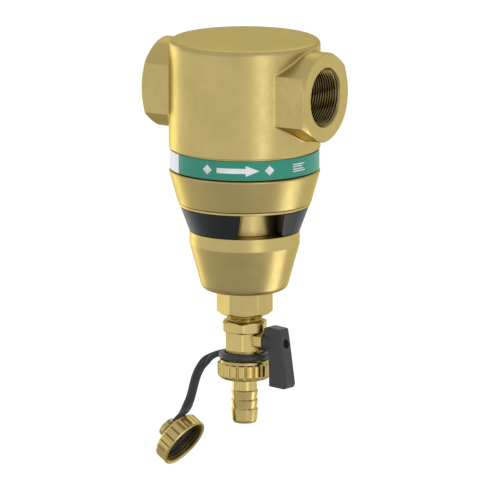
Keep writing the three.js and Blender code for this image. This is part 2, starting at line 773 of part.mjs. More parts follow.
// heights below run from the open rim, 0, to the stud's head
function capShell() {
  const { radius, depth, wall, thread, ribs } = CAP;
  const outline = raised(ribbedOutline(ribs, radius, radius - 0.8, 0.22), 0, depth);
  const envelope = turned([
    [0, 0],
    [radius - 0.9, 0],
    [radius + 0.1, 1],
    [radius + 0.1, depth - 2],
    [radius - 2, depth],
    [0, depth],
  ], SEGMENTS.medium);
  const inside = turned([
    [0, -1],
    [thread, -1],
    [thread, depth - wall],
    [0, depth - wall],
  ], SEGMENTS.medium);
  const shankHole = disc(CAP_STUD.shank + GAP, 0, depth + 1, SEGMENTS.fine);
  const shell = solid(outline).intersect(solid(envelope));
  return shown(cut(shell, solid(inside), solid(shankHole)));
}

function capGasket() {
  const seatTop = CAP.depth - CAP.wall - GAP;
  return plain(ring(4.6, CAP.thread - 0.4, seatTop - 1.6, seatTop, SEGMENTS.medium));
}

function capStud() {
  const { shank, neck, neckLength, head, headThickness } = CAP_STUD;
  const inside = CAP.depth - CAP.wall - GAP;
  const neckStart = CAP.depth + GAP;
  const headStart = CAP.depth + neckLength;
  const body = turned([
    [0, inside - 1],
    [3.6, inside - 1],
    [3.6, inside],
    [shank, inside],
    [shank, neckStart],
    [neck, neckStart],
    [neck, headStart],
    [head, headStart],
    [head, headStart + headThickness - 0.8],
    [head - 0.8, headStart + headThickness],
    [0, headStart + headThickness],
  ], SEGMENTS.small);
  const notches = [0, 1, 2, 3].map((i) => {
    const notch = block(head - 1.2, head + 1, -1.3, 1.3, headStart - 1, headStart + 6);
    return solid(notch.rotateZ((Math.PI / 2) * i));
  });
  return shown(cut(solid(body), ...notches));
}

function strapLoop() {
  const { inner, outer, thickness } = STRAP_LOOP;
  const middle = CAP.depth + CAP_STUD.neckLength / 2 + GAP / 2;
  const [low, high] = [middle - thickness / 2, middle + thickness / 2];
  return plain(ring(inner, outer, low, high, SEGMENTS.small));
}

// ---------------------------------------------------------------- assembly

function named(name, geometry, material) {
  const mesh = new THREE.Mesh(geometry, material);
  mesh.name = name;
  return mesh;
}

function housingGroup() {
  const seal = ring(35, SPIGOT_RADIUS - 0.1, CONE_LEDGE + GAP, SPIGOT_END - GAP);
  const groove = O_RING_GROOVE;
  const band = ring(BAND.inner, BAND.outer, BAND.bottom, BAND.top, SEGMENTS.large);
  const bowlSeal = ring(
    groove.floor + GAP,
    BOWL_SPIGOT_RADIUS,
    groove.bottom + GAP,
    groove.top - GAP,
  );
  return new THREE.Group().add(
    named('upper_housing', upperHousing(), SATIN_BRASS),
    named('label_band', plain(band), LABEL),
    named('cone_housing', coneHousing(), SATIN_BRASS),
    named('housing_seal', plain(seal), RUBBER),
    named('sludge_bowl', sludgeBowl(), SATIN_BRASS),
    named('bowl_o_ring', plain(bowlSeal), RUBBER),
  );
}

function cartridgeGroup() {
  const { radius, plate, top, bottom } = CAGE;
  return new THREE.Group().add(
    named('cage_top_plate', spokedPlate(CAGE_TOP_RADIUS, top, top + plate, 4), STAINLESS),
    named('cage_bottom_plate', spokedPlate(radius, bottom - plate, bottom, 4), STAINLESS),
    named('coalescing_fins', finPack(), STAINLESS),
    named('cage_rod', cageRod(), STAINLESS),
    named('cage_nut', cageNut(), STAINLESS),
  );
}

function clipGroup() {
  const group = new THREE.Group();
  group.rotation.z = CLIP_TURN;
  group.add(named('clip_hinge_pin', clipPin(), STAINLESS));
  Object.entries({ right: 1, left: -1 }).forEach(([name, side]) => {
    group.add(
      named(`clip_jaw_${name}`, clipJaw(side), BLACK_PLASTIC),
      named(`clip_cover_${name}`, clipCover(side), BLACK_PLASTIC),
      named(`clip_yoke_${name}`, clipYoke(side), ZINC_STEEL),
    );
    for (let i = 0; i < MAGNETS_PER_JAW; i += 1) {
      group.add(named(`clip_magnet_${name}_${i + 1}`, clipMagnet(side, i), MAGNET));
    }
  });
  return group;
}

function adapterGroup() {
  const top = ADAPTER.top;
  const washer = ring(WASHER.inner, WASHER.outer, top - WASHER.thickness, top);
  return new THREE.Group().add(
    named('drain_adapter', drainAdapter(), SATIN_BRASS),
    named('adapter_washer', plain(washer), FIBRE),
  );
}

function valveGroup() {
  const gasketTop = OUTLET.end - GAP;
  const gasket = ring(6, 12.6, gasketTop - 1.4, gasketTop, SEGMENTS.small);
  const group = new THREE.Group();
  group.rotation.z = VALVE_TURN;
  return group.add(
    named('valve_inlet', valveInlet(), FITTING_BRASS),
    named('valve_body', valveBody(), FITTING_BRASS),
    named('valve_ball', ball(), STAINLESS),
    named('ball_seat_upper', seat(1), PTFE),
    named('ball_seat_lower', seat(-1), PTFE),
    named('valve_stem', stem(), FITTING_BRASS),
    named('stem_seal', stemSeal(), PTFE),
    named('lever_handle', leverHandle(), HANDLE_PLASTIC),
    named('handle_screw', handleScrew(), ZINC_STEEL),
    named('strap_ring', strapRing(), RUBBER),
    named('union_nut', unionNut(), FITTING_BRASS),
    named('tail_gasket', plain(gasket), RUBBER),
    named('hose_tail', hoseTail(), FITTING_BRASS),
  );
}

function capGroup() {
  const group = new THREE.Group();
  group.position.copy(CAP_RIM);
  const inward = CAP_OPENING.clone().negate();
  group.quaternion.setFromUnitVectors(new THREE.Vector3(0, 0, 1), inward);
  return group.add(
    named('cap', capShell(), FITTING_BRASS),
    named('cap_gasket', capGasket(), RUBBER),
    named('cap_stud', capStud(), FITTING_BRASS),
    named('strap_end_loop', strapLoop(), RUBBER),
  );
}

function strapGroup() {
  const group = new THREE.Group();
  group.rotation.z = STRAP_TURN;
  return group.add(named('cap_strap', capStrap(), RUBBER), capGroup());
}

const separator = new THREE.Group();
separator.add(
  housingGroup(),
  cartridgeGroup(),
  clipGroup(),
  adapterGroup(),
  valveGroup(),
  strapGroup(),
);

export default separator;
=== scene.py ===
"""Looks of an inline magnetic dirt separator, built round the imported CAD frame.

Lengths are in millimetres until a mesh is made, and in metres after that. Round pieces are
rows of points round an axis: a row's radius may be held back by a limit, such as the flats of
a hexagon, so that one function makes turned parts, nuts and ribbed caps alike.
"""

import json
import math

import bmesh
import bpy
import numpy as np
from mathutils import Matrix, Vector


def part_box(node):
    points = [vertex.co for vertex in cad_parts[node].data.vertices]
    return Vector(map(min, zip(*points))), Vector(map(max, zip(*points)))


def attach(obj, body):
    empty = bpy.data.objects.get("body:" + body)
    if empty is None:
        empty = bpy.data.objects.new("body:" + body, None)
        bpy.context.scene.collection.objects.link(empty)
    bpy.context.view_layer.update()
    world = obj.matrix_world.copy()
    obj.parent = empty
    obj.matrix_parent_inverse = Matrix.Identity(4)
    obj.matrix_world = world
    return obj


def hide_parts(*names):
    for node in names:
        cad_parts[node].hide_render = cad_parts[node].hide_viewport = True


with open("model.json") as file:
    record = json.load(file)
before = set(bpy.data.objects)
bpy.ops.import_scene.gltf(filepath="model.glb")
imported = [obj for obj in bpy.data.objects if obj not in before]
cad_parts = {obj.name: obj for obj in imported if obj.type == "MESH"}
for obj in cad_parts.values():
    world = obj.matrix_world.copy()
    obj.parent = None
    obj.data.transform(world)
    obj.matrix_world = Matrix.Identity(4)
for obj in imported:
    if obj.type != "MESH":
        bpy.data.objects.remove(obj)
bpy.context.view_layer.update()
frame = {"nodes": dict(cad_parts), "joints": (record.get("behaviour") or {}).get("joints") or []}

MM = 0.001
TURN = 2 * math.pi
RIB_CROWN = 0.12


# ---- places from the frame


def heights(node):
    """Lowest and highest point of a CAD node, in millimetres."""
    low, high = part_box(node)
    return low.z / MM, high.z / MM


def radius_of(node):
    """Radius of a CAD node that is round about the upright axis."""
    low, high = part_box(node)
    return min(high.x - low.x, high.y - low.y) / 2 / MM


def joint_named(name):
    return next(j for j in frame["joints"] if j["name"] == name)


def about_z(angle):
    return Matrix.Rotation(angle, 4, "Z")


def new_object(name, data):
    made = bpy.data.objects.new(name, data)
    bpy.context.scene.collection.objects.link(made)
    return made


STEM_AXIS = Vector(joint_named("lever_turn")["axis"])
STEM_HEIGHT = joint_named("lever_turn")["pos_m"][2] / MM
VALVE_TURN = math.atan2(STEM_AXIS.y, STEM_AXIS.x)
CLIP_PIN = Vector(joint_named("clip_right_open")["pos_m"]) / MM
CLIP_TURN = math.atan2(-CLIP_PIN.y, -CLIP_PIN.x)
STRAP_TURN = math.radians(210)

# local frames: the valve's +X is the stem, the clip's +X points at the gap
VALVE = about_z(VALVE_TURN)
ALONG_X = Matrix.Rotation(math.pi / 2, 4, "Y")
ON_STEM = VALVE @ Matrix.Translation((0, 0, STEM_HEIGHT)) @ ALONG_X
IN_CLIP = about_z(CLIP_TURN)
IN_STRAP = about_z(STRAP_TURN)


# ---- camera

VIEW_AZIMUTH = math.radians(30.5)
VIEW_ELEVATION = math.radians(11.2)
VIEW_DISTANCE = 8.0
VIEW_HEIGHT = -0.0915
VIEW_ASIDE = 0.0002
LENS = 1020.0


def direction(azimuth, elevation):
    """Away from the object; azimuth 0 is its front and grows to the right."""
    level = math.cos(elevation)
    return Vector((math.sin(azimuth) * level, -math.cos(azimuth) * level, math.sin(elevation)))


def make_camera():
    towards = direction(VIEW_AZIMUTH, VIEW_ELEVATION)
    data = bpy.data.cameras.new("camera")
    data.lens = LENS
    data.clip_end = 100
    camera = new_object("camera", data)
    aside = Vector((math.cos(VIEW_AZIMUTH), math.sin(VIEW_AZIMUTH), 0)) * VIEW_ASIDE
    camera.location = Vector((0, 0, VIEW_HEIGHT)) + aside + VIEW_DISTANCE * towards
    camera.rotation_euler = (-towards).to_track_quat("-Z", "Y").to_euler()
    bpy.context.scene.camera = camera


make_camera()


# ---- outlines and rows


def rounded(corners, closed=True, steps=5):
    """An outline whose corners (x, y, radius) are rounded by arcs."""
    points = []
    count = len(corners)
    for i, (x, y, radius) in enumerate(corners):
        corner = Vector((x, y))
        if radius <= 0 or (not closed and i in (0, count - 1)):
            points.append((x, y))
            continue
        before = Vector(corners[i - 1][:2]) - corner
        after = Vector(corners[(i + 1) % count][:2]) - corner
        half = before.angle(after) / 2
        reach = min(radius / math.tan(half), 0.49 * before.length, 0.49 * after.length)
        fitted = reach * math.tan(half)
        towards = (before.normalized() + after.normalized()).normalized()
        centre = corner + towards * (fitted / math.sin(half))
        start = corner + before.normalized() * reach - centre
        end = corner + after.normalized() * reach - centre
        sweep = start.angle_signed(end)
        for step in range(steps + 1):
            turned_by = Matrix.Rotation(-sweep * step / steps, 2)
            points.append(tuple(centre + turned_by @ start))
    return points


def refined(points, longest, closed=True):
    """The same outline with no side longer than a given length."""
    out = []
    count = len(points)
    for i in range(count if closed else count - 1):
        a = np.array(points[i])
        b = np.array(points[(i + 1) % count])
        pieces = max(1, math.ceil(np.linalg.norm(b - a) / longest))
        out.extend(tuple(a + (b - a) * k / pieces) for k in range(pieces))
    if not closed:
        out.append(tuple(points[-1]))
    return out


def ring_outline(inner, outer, low, high, inner_edge, outer_edge):
    """The rounded oblong section of a ring, or of a pin when the inner radius is 0."""
    return rounded([
        (inner, low, inner_edge),
        (outer, low, outer_edge),
        (outer, high, outer_edge),
        (inner, high, inner_edge),
    ])


def soft_min(a, b, softness):
    """The smaller of two lengths, with the crossing rounded."""
    share = np.clip(0.5 + 0.5 * (b - a) / softness, 0, 1)
    return b + (a - b) * share - softness * share * (1 - share)


def angles(segments):
    return np.linspace(0, TURN, segments, endpoint=False)


def row_at(radii, theta, height):
    """A row of points round the upright axis."""
    level = np.full(len(theta), float(height))
    return np.stack([radii * np.cos(theta), radii * np.sin(theta), level], axis=1)


def hexagon(across_flats, corner_angle, softness):
    """Radius limit of a hexagon with one corner at an angle."""

    def limit(theta):
        from_corner = np.mod(theta - corner_angle, TURN / 6)
        near = across_flats / 2 / np.cos(from_corner - TURN / 12)
        far = across_flats / 2 / np.cos(from_corner + TURN / 12)
        other = across_flats / 2 / np.cos(from_corner - TURN / 4)
        beyond = np.where(from_corner < TURN / 12, far, np.abs(other))
        return soft_min(near, beyond, softness)

    return limit


def ribs(count, outer, depth, groove, phase):
    """Radius limit of a ribbed rim: broad crowned ribs with narrow round-bottomed grooves."""

    def limit(theta):
        place = np.mod((theta - phase) * count / TURN, 1)
        across = np.abs(place - 0.5) / (groove / 2)
        dip = np.where(across < 1, np.cos(across * math.pi / 2) ** 0.7, 0)
        swell = RIB_CROWN * np.cos(place * TURN)
        return outer - depth * dip - RIB_CROWN + swell

    return limit


def round_row(radius, height, segments, limit=None, softness=0.4):
    theta = angles(segments)
    radii = np.full(segments, float(radius))
    if limit is not None:
        radii = soft_min(radii, limit(theta), softness)
    return row_at(radii, theta, height)


def thread_rows(inner, outer, pitch, start, end, segments, steps=12):
    """Rows of a helical thread between two heights, with rounded crests and roots."""
    theta = angles(segments)
    count = max(2, round(abs(end - start) / pitch * steps))
    rows = []
    for height in np.linspace(start, end, count):
        wave = 0.5 - 0.5 * np.cos(TURN * height / pitch - theta)
        run_out = np.clip(min(abs(height - start), abs(height - end)) / (0.4 * pitch), 0, 1)
        middle = (inner + outer) / 2
        radii = middle + (inner + (outer - inner) * wave - middle) * run_out
        rows.append(row_at(radii, theta, height))
    return rows


# ---- making pieces


def add(name, mesh, material, body, slot, *nodes, sharp=38):
    """A piece from a mesh in millimetres, smooth, shaded by its large faces and on its body."""
    mesh.transform(Matrix.Scale(MM, 4))
    mesh.polygons.foreach_set("use_smooth", [True] * len(mesh.polygons))
    mesh.set_sharp_from_angle(angle=math.radians(sharp))
    mesh.materials.clear()
    mesh.materials.append(material)
    piece = new_object(name, mesh)
    normals = piece.modifiers.new("normals", "WEIGHTED_NORMAL")
    normals.keep_sharp = True
    normals.weight = 80
    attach(piece, body)
    if nodes:
        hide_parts(*nodes)
    return piece


def mesh_of_rows(rows, loop=False, place=None):
    """A mesh from rows of points. With loop, the last row joins the first one."""
    count, columns = len(rows), len(rows[0])
    faces = []
    last = count if loop else count - 1
    for i in range(last):
        a, b = i * columns, ((i + 1) % count) * columns
        for j in range(columns):
            k = (j + 1) % columns
            faces.append((a + j, a + k, b + k, b + j))
    if not loop:
        faces.append(tuple(range(columns)))
        faces.append(tuple((count - 1) * columns + j for j in range(columns)))
    mesh = bpy.data.meshes.new("rows")
    mesh.from_pydata(np.concatenate(rows).tolist(), [], faces)
    tidy(mesh)
    if place is not None:
        mesh.transform(place)
    return mesh


def tidy(mesh, weld=1e-4):
    """Joins points that meet, drops faces with no area and turns every face outwards."""
    work = bmesh.new()
    work.from_mesh(mesh)
    bmesh.ops.remove_doubles(work, verts=work.verts, dist=weld)
    bmesh.ops.dissolve_degenerate(work, dist=weld / 2, edges=work.edges)
    bmesh.ops.recalc_face_normals(work, faces=work.faces)
    work.to_mesh(mesh)
    work.free()


def turned(outline, segments, limit=None, softness=0.4, place=None):
    """A closed body of revolution from an outline of (radius, height)."""
    rows = [round_row(r, z, segments, limit, softness) for r, z in outline]
    on_axis = outline[0][0] < 1e-6 and outline[-1][0] < 1e-6
    return mesh_of_rows(rows, loop=not on_axis, place=place)


def cylinder(radius, low, high, segments, place=None):
    return turned([(0, low), (radius, low), (radius, high), (0, high)], segments, place=place)


def slab(outline, low, high, place=None):
    """A flat outline raised between two heights."""
    rows = [np.array([(x, y, z) for x, y in outline]) for z in (low, high)]
    return mesh_of_rows(rows, place=place)


def bevelled(mesh, width, angle=30):
    work = bmesh.new()
    work.from_mesh(mesh)
    turning = math.radians(angle)
    edges = [e for e in work.edges if e.is_manifold and e.calc_face_angle() > turning]
    bmesh.ops.bevel(
        work,
        geom=edges,
        offset=width,
        segments=3,
        profile=0.5,
        affect="EDGES",
        clamp_overlap=True,
    )
    work.to_mesh(mesh)
    work.free()
    return mesh


def combined(base, *steps):
    """Joins or cuts closed meshes: each step is (operation, mesh)."""
    holder = new_object("holder", base)
    for operation, tool_mesh in steps:
        tool = new_object("tool", tool_mesh)
        change = holder.modifiers.new("change", "BOOLEAN")
        change.operation = operation
        change.solver = "EXACT"
        change.object = tool
        graph = bpy.context.evaluated_depsgraph_get()
        result = bpy.data.meshes.new_from_object(holder.evaluated_get(graph))
        holder.modifiers.clear()
        holder.data = result
        bpy.data.objects.remove(tool)
    mesh = holder.data
    bpy.data.objects.remove(holder)
    tidy(mesh)
    return mesh


def merged(*meshes):
    """Several closed shells in one mesh."""
    work = bmesh.new()
    for mesh in meshes:
        work.from_mesh(mesh)
    whole = bpy.data.meshes.new("merged")
    work.to_mesh(whole)
    work.free()
    return whole


# ---- materials


class Shader:
    """A Principled material and short ways to add nodes to it."""

    def __init__(self, name, color, metallic, roughness, **constants):
        self.material = bpy.data.materials.new(name)
        self.material.use_nodes = True
        self.material.diffuse_color = (*color, 1)
        self.tree = self.material.node_tree
        self.principled = self.tree.nodes["Principled BSDF"]
        self.principled.inputs["Base Color"].default_value = (*color, 1)
        self.principled.inputs["Metallic"].default_value = metallic
        self.principled.inputs["Roughness"].default_value = roughness
        for key, value in constants.items():
            self.principled.inputs[key.replace("_", " ")].default_value = value
        coordinates = self.tree.nodes.new("ShaderNodeTexCoord")
        self.place = coordinates.outputs["Object"]

    def node(self, kind, links=None, **settings):
        node = self.tree.nodes.new(kind)
        for key, value in settings.items():
            setattr(node, key, value)
        for key, source in (links or {}).items():
            socket = node.inputs[key]
            if isinstance(source, bpy.types.NodeSocket):
                self.tree.links.new(source, socket)
            else:
                socket.default_value = source
        return node

    def noise(self, scale, detail=3.0, rough=0.5, place=None):
        node = self.node(
            "ShaderNodeTexNoise",
            {"Vector": place or self.place, "Scale": scale, "Detail": detail, "Roughness": rough},
        )
        return node.outputs["Fac"]

    def between(self, factor, low, high, start=0.0, end=1.0):
        """Maps a factor from one range to another."""
        node = self.node(
            "ShaderNodeMapRange",
            {"Value": factor, "From Min": start, "From Max": end, "To Min": low, "To Max": high},
        )
        return node.outputs["Result"]

    def maths(self, operation, first, second):
        return self.node("ShaderNodeMath", {0: first, 1: second}, operation=operation).outputs[0]

    def vector_maths(self, operation, output, *sources):
        links = dict(enumerate(sources))
        node = self.node("ShaderNodeVectorMath", links, operation=operation)
        return node.outputs[output]

    def height_only(self):
        """Places that differ only in height, which turns a noise into lines round the part."""
        split = self.node("ShaderNodeSeparateXYZ", {"Vector": self.place})
        flat = self.node("ShaderNodeCombineXYZ", {"Z": split.outputs["Z"]})
        return flat.outputs["Vector"]

    def mix(self, factor, first, second):
        """Mixes two colours; 6, 7 and 2 are the mix node's colour sockets."""
        node = self.node("ShaderNodeMix", data_type="RGBA")
        self.tree.links.new(factor, node.inputs["Factor"])
        for index, value in ((6, first), (7, second)):
            if isinstance(value, bpy.types.NodeSocket):
                self.tree.links.new(value, node.inputs[index])
            else:
                node.inputs[index].default_value = (*value, 1)
        return node.outputs[2]

    def set(self, name, source):
        self.tree.links.new(source, self.principled.inputs[name])

    def bump(self, height, distance, strength=1.0, normal=None):
        links = {"Height": height, "Distance": distance, "Strength": strength}
        if normal is not None:
            links["Normal"] = normal
        node = self.node("ShaderNodeBump", links)
        return node.outputs["Normal"]


BRASS_EDGE = (0.86, 0.78, 0.46)
BORE_EDGE = 0.0006


def shaded(color, factor):
    return tuple(min(1.0, c * factor) for c in color)


def bore_shade_mask(look, start, along, radius, depth):
    """1 on the wall of a round hole and 0 outside it; places and lengths are in metres."""
    from_start = look.vector_maths("SUBTRACT", "Vector", look.place, tuple(start))
    beside = look.vector_maths("CROSS_PRODUCT", "Vector", from_start, tuple(along))
    reach = look.vector_maths("LENGTH", "Value", beside)
    ahead = look.vector_maths("DOT_PRODUCT", "Value", from_start, tuple(along))
    near = look.between(reach, 1.0, 0.0, radius, radius + BORE_EDGE)
    within = look.between(ahead, 1.0, 0.0, depth, depth + BORE_EDGE)
    return look.maths("MULTIPLY", near, within)


def brass(name, color, roughness, grain_size, grain_depth, turned_marks=0.0, bore=None):
    """Satin brass: a fine blasted grain, faint patches in tone and gloss, and tool marks.

    A bore is (start, direction, radius, depth, shade): its wall gets painted shade, a darker base
    colour.
    """
    look = Shader(name, color, 1.0, roughness, Specular_Tint=(*BRASS_EDGE, 1))
    cloud = look.noise(55, 4, 0.6)
    tone = look.between(cloud, 0.0, 1.0, 0.35, 0.65)
    shade = look.mix(tone, shaded(color, 0.955), shaded(color, 1.035))
    # painted shade: a darker base colour on the wall of a threaded hole
    if bore:
        shade = look.mix(bore_shade_mask(look, *bore[:4]), shade, shaded(color, bore[4]))
    look.set("Base Color", shade)
    grain = look.noise(1 / grain_size, 2, 0.6)
    gloss = look.noise(240, 3, 0.55)
    look.set("Roughness", look.between(gloss, roughness - 0.035, roughness + 0.045, 0.3, 0.7))
    normal = look.bump(grain, grain_depth)
    if turned_marks:
        marks = look.noise(1 / turned_marks, 1, 0.5, look.height_only())
        normal = look.bump(marks, grain_depth * 0.8, 0.6, normal)
    look.set("Normal", normal)
    return look.material


def plastic(name, color, roughness, specular=0.5, grain_size=0.0006, grain_depth=0.00002):
    """Moulded plastic with a spark-eroded grain and slightly rubbed tone."""
    look = Shader(name, color, 0.0, roughness, Specular_IOR_Level=specular)
    cloud = look.between(look.noise(90, 3), 0.0, 1.0, 0.35, 0.65)
    look.set("Base Color", look.mix(cloud, shaded(color, 0.86), shaded(color, 1.16)))
    grain = look.noise(1 / grain_size, 3, 0.6)
    look.set("Roughness", look.between(grain, roughness - 0.06, roughness + 0.06, 0.3, 0.7))
    look.set("Normal", look.bump(grain, grain_depth))
    return look.material


def rubber(name, color, roughness):
    """Moulded rubber: soft sheen, faint dust and a shallow uneven skin."""
    sheen = {"Sheen_Weight": 0.04, "Sheen_Roughness": 0.5}
    look = Shader(name, color, 0.0, roughness, Specular_IOR_Level=0.4, **sheen)
    dust = look.between(look.noise(140, 5, 0.7), 0.0, 1.0, 0.4, 0.75)
    look.set("Base Color", look.mix(dust, color, shaded(color, 1.5)))
    skin = look.noise(1300, 3, 0.6)
    look.set("Roughness", look.between(skin, roughness - 0.05, roughness + 0.08, 0.3, 0.7))
    look.set("Normal", look.bump(skin, 0.00005))
    return look.material


def steel(name, color, roughness, marks=0.00025):
    """Brushed or plated steel with fine lines round the part."""
    look = Shader(name, color, 1.0, roughness)
    lines = look.noise(1 / marks, 2, 0.5, look.height_only())
    look.set("Roughness", look.between(lines, roughness - 0.05, roughness + 0.08, 0.3, 0.7))
    look.set("Base Color", look.mix(lines, shaded(color, 0.92), shaded(color, 1.05)))
    look.set("Normal", look.bump(lines, 0.00002))
    return look.material


def woven_steel(name, color):
    """Wire mesh: a fine check that darkens and lowers every other square."""
    look = Shader(name, color, 1.0, 0.4)
    checks = look.node("ShaderNodeTexChecker", {"Vector": look.place, "Scale": 900.0})
    raised = checks.outputs["Fac"]
    look.set("Base Color", look.mix(raised, shaded(color, 0.45), color))
    look.set("Normal", look.bump(raised, 0.0002))
    return look.material


def pressed_fibre(name, color):
    look = Shader(name, color, 0.0, 0.75)
    flecks = look.between(look.noise(800, 5, 0.7), 0.0, 1.0, 0.35, 0.7)
    look.set("Base Color", look.mix(flecks, shaded(color, 0.7), shaded(color, 1.3)))
    look.set("Normal", look.bump(flecks, 0.0001))
    return look.material


LABEL_TEAL = (0.024, 0.250, 0.165)
LABEL_WHITE = (0.72, 0.73, 0.72)
WHITE_FIELD = (math.radians(-136), math.radians(-31))


def printed_film(name):
    """A label: teal print over a white film that stays bare on one field."""
    look = Shader(name, LABEL_TEAL, 0.0, 0.36, Specular_IOR_Level=0.3)
    split = look.node("ShaderNodeSeparateXYZ", {"Vector": look.place})
    turned_back = look.maths("MULTIPLY", split.outputs["Y"], -1.0)
    around = look.maths("ARCTAN2", split.outputs["X"], turned_back)
    above = look.maths("GREATER_THAN", around, WHITE_FIELD[0])
    below = look.maths("LESS_THAN", around, WHITE_FIELD[1])
    inside = look.maths("MULTIPLY", above, below)
    ink = look.between(look.noise(900, 3), 0.0, 1.0, 0.3, 0.7)
    teal = look.mix(ink, shaded(LABEL_TEAL, 0.94), shaded(LABEL_TEAL, 1.07))
    look.set("Base Color", look.mix(inside, teal, LABEL_WHITE))
    look.set("Normal", look.bump(look.noise(700, 2), 0.00002))
    return look.material


CAP_AXIS = Vector(joint_named("cap_spin")["axis"])
CAP_RIM = Vector(joint_named("cap_spin")["pos_m"]) / MM

# start, direction, radius, depth and shade of the painted shade on the two threaded walls, in
# metres
PORT_BORE_SHADE = ((0, 0, 0), (1, 0, 0), 0.0169, 1.0, 0.45)
CAP_BORE_SHADE = (CAP_RIM * MM, CAP_AXIS, 0.0136, 0.0078, 0.16)

SATIN_COLOR = (0.50, 0.385, 0.150)
FITTING_COLOR = (0.55, 0.42, 0.160)
# satin brass carries painted shade in the port bores; cap brass is fitting brass with painted shade
# inside the cap
SATIN_BRASS = brass("satin_brass", SATIN_COLOR, 0.34, 0.00028, 0.000004, bore=PORT_BORE_SHADE)
FITTING_BRASS = brass("fitting_brass", FITTING_COLOR, 0.27, 0.00035, 0.0000015, 0.0006)
CAP_BRASS = brass("cap_brass", FITTING_COLOR, 0.27, 0.00035, 0.0000015, 0.0006, CAP_BORE_SHADE)
CLIP_PLASTIC = plastic("clip_plastic", (0.006, 0.006, 0.006), 0.42, 0.35)
HANDLE_PLASTIC = plastic("handle_plastic", (0.018, 0.018, 0.0175), 0.36, 0.5)
STRAP_RUBBER = rubber("strap_rubber", (0.027, 0.027, 0.025), 0.42)
SEAL_RUBBER = rubber("seal_rubber", (0.004, 0.004, 0.004), 0.6)
STAINLESS = steel("stainless", (0.56, 0.57, 0.58), 0.3)
ZINC_STEEL = steel("zinc_steel", (0.50, 0.52, 0.54), 0.36)
MAGNET_NICKEL = steel("magnet_nickel", (0.58, 0.58, 0.57), 0.2, 0.001)
MESH_STEEL = woven_steel("mesh_steel", (0.50, 0.51, 0.52))
PTFE = plastic("ptfe", (0.86, 0.86, 0.83), 0.38, 0.5, 0.001, 0.00001)
FIBRE = pressed_fibre("fibre", (0.26, 0.07, 0.04))
LABEL_FILM = printed_film("label_film")
LABEL_INK = plastic("label_ink", LABEL_WHITE, 0.4, 0.3, 0.0008, 0.000004)


# ---- upper housing

PORT_FLATS = 51.0
PORT_ARC = 22.0
PORT_CHAMFER = 2.3
PORT_FILLET = 1.3
PORT_MAJOR = 16.9
PORT_MINOR = 15.7
PORT_PITCH = 1.6
PORT_MOUTH = 17.4
PORT_REACH = 9.4
PORT_SEGMENTS = 192
PORT_THREAD_STEPS = 10
PORT_HOLE = 17.1
BEYOND_PORTS = 70.0
TOP_CROWN = 1.0
CHAMBER_RADIUS = 38.0
CHAMBER_TOP = 23.5
CHAMBER_FLOOR = -29.0
SPIGOT_RADIUS = 38.6
SPIGOT_BORE = 34.6


def port_limit(theta):
    """Hexagon with flats to the front and back and broad arcs at the top and bottom."""
    flats = hexagon(PORT_FLATS, TURN / 12, 0.5)(theta)
    centre = (PORT_FLATS / 2 - PORT_ARC) / math.sin(math.pi / 3)
    upright = np.abs(np.sin(theta))
    level = np.cos(theta)
    arc = centre * upright + np.sqrt(PORT_ARC**2 - (centre * level) ** 2)
    tangent = math.atan2(centre + PORT_ARC * math.sin(math.pi / 3), PORT_ARC / 2)
    return np.where(upright > math.sin(tangent), arc, flats)


def port_point(radii, theta, across):
    """Points at a distance across the body; the section's first axis is Y, its second Z."""
    across = np.broadcast_to(across, theta.shape)
    return np.stack([across, radii * np.cos(theta), radii * np.sin(theta)], axis=1)


def port_shell(housing_radius, half_span):
    theta = angles(PORT_SEGMENTS)
    edge = port_limit(theta)

    def on_housing(radii, sunk=0.03):
        beside = radii * np.cos(theta)
        return np.sqrt(housing_radius**2 - beside**2) - sunk

    rows = []
    inner_end = housing_radius - PORT_REACH
    mouth_start = half_span - (PORT_MOUTH - PORT_MINOR) * 0.8
    thread = thread_rows(
        PORT_MINOR, PORT_MAJOR, PORT_PITCH, inner_end, mouth_start, PORT_SEGMENTS, PORT_THREAD_STEPS
    )
    for row in thread:
        radii = np.hypot(row[:, 0], row[:, 1])
        rows.append(port_point(radii, theta, row[0, 2]))
    face = rounded([
        (PORT_MINOR + 0.5, mouth_start, 0),
        (PORT_MOUTH, half_span, 0.25),
        (PORT_FLATS / 2 - 0.15, half_span, 0.5),
        (PORT_FLATS / 2 + 4.2, half_span - PORT_CHAMFER - 0.05, 0),
    ], closed=False)
    for radius, across in refined(face[1:], 0.45, closed=False):
        radii = soft_min(np.full_like(theta, radius), edge, 0.5)
        rows.append(port_point(radii, theta, across))
    fillet_start = on_housing(edge, 0) + PORT_FILLET
    side_start = half_span - PORT_CHAMFER - 0.3
    for share in np.linspace(0, 1, 8):
        rows.append(port_point(edge, theta, side_start + (fillet_start - side_start) * share))
    foot = edge + PORT_FILLET
    foot_across = on_housing(foot)
    bend_across = on_housing(edge, 0)
    for share in np.linspace(0.12, 1, 8):
        a, b, c = (1 - share) ** 2, 2 * share * (1 - share), share**2
        radii = a * edge + b * edge + c * foot
        rows.append(port_point(radii, theta, a * fillet_start + b * bend_across + c * foot_across))
    rows.append(port_point(foot, theta, foot_across - 2))
    return rows


